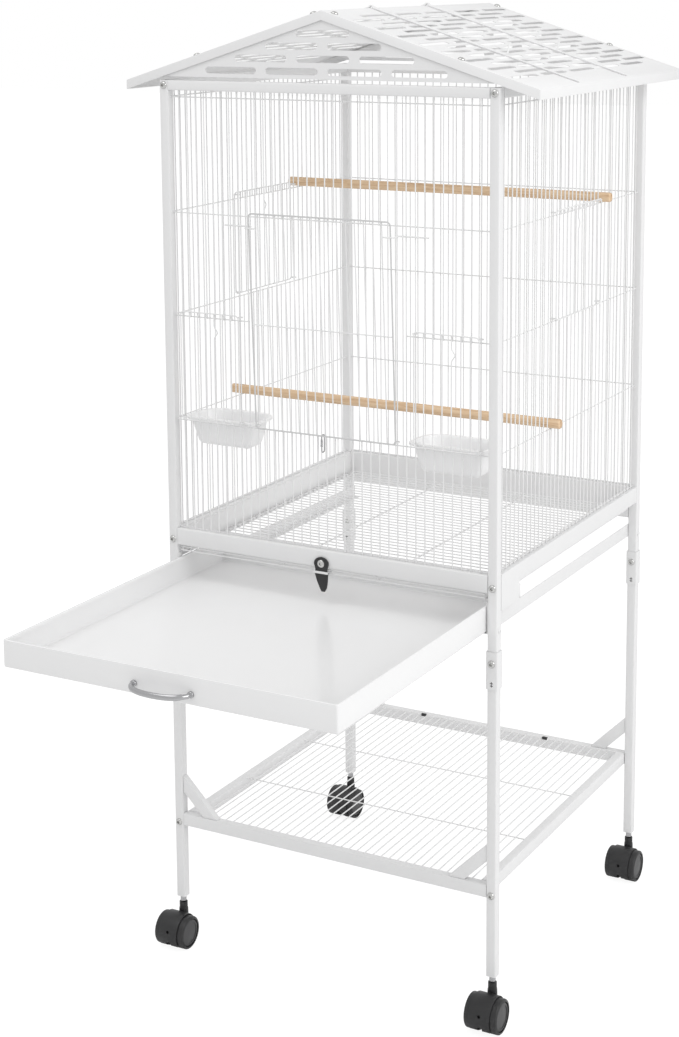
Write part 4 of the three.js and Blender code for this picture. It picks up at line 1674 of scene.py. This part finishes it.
@dataclass
class Studio:
    """A white room: pale floor, bright even surroundings, two soft lights and the camera."""

    camera_place: tuple[float, float, float] = (1.5037, -2.7103, 1.6519)
    azimuth: float = 29.087
    elevation: float = 9.189
    roll: float = -0.431
    lens: float = 68.63
    shift: float = -0.2203
    backdrop: float = 1.0
    surroundings: float = 0.8
    floor_glow: float = 0.8
    glow_strength: float = 1.15
    floor_size: float = 40.0

    def camera(self) -> None:
        """Sets the camera up."""
        data = bpy.data.cameras.new("camera")
        data.lens, data.sensor_width, data.shift_y = self.lens, 36.0, self.shift
        data.clip_end = 60
        camera = bpy.data.objects.new("camera", data)
        bpy.context.scene.collection.objects.link(camera)
        az, el, roll = (math.radians(value) for value in (self.azimuth, self.elevation, self.roll))
        right = Vector((math.cos(az), math.sin(az), 0))
        back = Vector((math.sin(az) * math.cos(el), -math.cos(az) * math.cos(el), math.sin(el)))
        up = back.cross(right)
        rolled_right = math.cos(roll) * right + math.sin(roll) * up
        rolled_up = math.cos(roll) * up - math.sin(roll) * right
        turn = Matrix((rolled_right, rolled_up, back)).transposed().to_4x4()
        camera.matrix_world = Matrix.Translation(self.camera_place) @ turn
        bpy.context.scene.camera = camera

    def light(self, name: str, place: Point, aim: Point, size: float, power: float) -> None:
        """Hangs a soft light.

        Args:
            name: its name.
            place: where it hangs.
            aim: what it shines at.
            size: its side in metres.
            power: its power in watts.
        """
        data = bpy.data.lights.new(name, "AREA")
        data.size, data.energy = size, power
        light = bpy.data.objects.new(name, data)
        bpy.context.scene.collection.objects.link(light)
        light.location = place
        light.rotation_mode = "QUATERNION"
        light.rotation_quaternion = (Vector(place) - Vector(aim)).to_track_quat("Z", "Y")

    def floor(self) -> None:
        """Lays the floor."""
        bpy.ops.object.select_all(action="DESELECT")
        bpy.ops.mesh.primitive_plane_add(size=self.floor_size, location=(0, 0, 0))
        floor = bpy.context.object
        floor.name = "studio_floor"
        shader = Shader("studio_floor")
        cloud = shader.noise(size=900.0, detail=1.0)
        colour = shader.mix(cloud, (0.88, 0.88, 0.88), (0.87, 0.87, 0.87))
        ground = shader.node("ShaderNodeBsdfPrincipled", {}, {"Base Color": colour, "Roughness": 0.8})
        glow = shader.node("ShaderNodeEmission", {}, {"Color": (1, 1, 1, 1), "Strength": self.glow_strength})
        seen = Value(shader, shader.node("ShaderNodeLightPath").outputs["Is Camera Ray"])
        sockets = {"Fac": seen * self.floor_glow, 1: ground.outputs[0], 2: glow.outputs[0]}
        mixed = shader.node("ShaderNodeMixShader", {}, sockets)
        shader.node("ShaderNodeOutputMaterial", {}, {"Surface": mixed.outputs[0]})
        floor.data.materials.append(shader.material)

    def room(self) -> None:
        """Makes the surroundings: a white backdrop that lights the cage a little less than it shows."""
        world = bpy.data.worlds.new("white_room")
        world.use_nodes = True
        tree = world.node_tree
        tree.nodes.clear()
        path = tree.nodes.new("ShaderNodeLightPath")
        mix = tree.nodes.new("ShaderNodeMixShader")
        tree.links.new(path.outputs["Is Camera Ray"], mix.inputs["Fac"])
        for number, strength in ((1, self.surroundings), (2, self.backdrop)):
            background = tree.nodes.new("ShaderNodeBackground")
            background.inputs["Color"].default_value = (1, 1, 1, 1)
            background.inputs["Strength"].default_value = strength
            tree.links.new(background.outputs[0], mix.inputs[number])
        output = tree.nodes.new("ShaderNodeOutputWorld")
        tree.links.new(mix.outputs[0], output.inputs["Surface"])
        bpy.context.scene.world = world

    def build(self) -> None:
        """Builds the room round the cage."""
        self.camera()
        self.room()
        bpy.context.scene.view_settings.view_transform = "Standard"
        self.light("key", (3.4, -0.4, 2.6), (0, 0.1, 0.8), 2.2, 48)
        self.light("top", (-0.6, -1.6, 4.2), (0, -0.1, 0.7), 2.6, 26)
        self.floor()


def main() -> None:
    """Builds the cage, piece by piece, and writes how big it came out."""
    logging.basicConfig(level=logging.INFO, format="%(message)s")
    FrameTubes().build()
    FrameScrews().build()
    WireWalls().build()
    WireDoors().build()
    SlottedRoof().build()
    LitterTray().build()
    TurnLatch().build()
    WireGrids().build()
    Perches().build()
    FeederCups().build()
    SnapHook().build()
    TwinCasters().build()
    Studio().build()


if __name__ == "__main__":
    main()
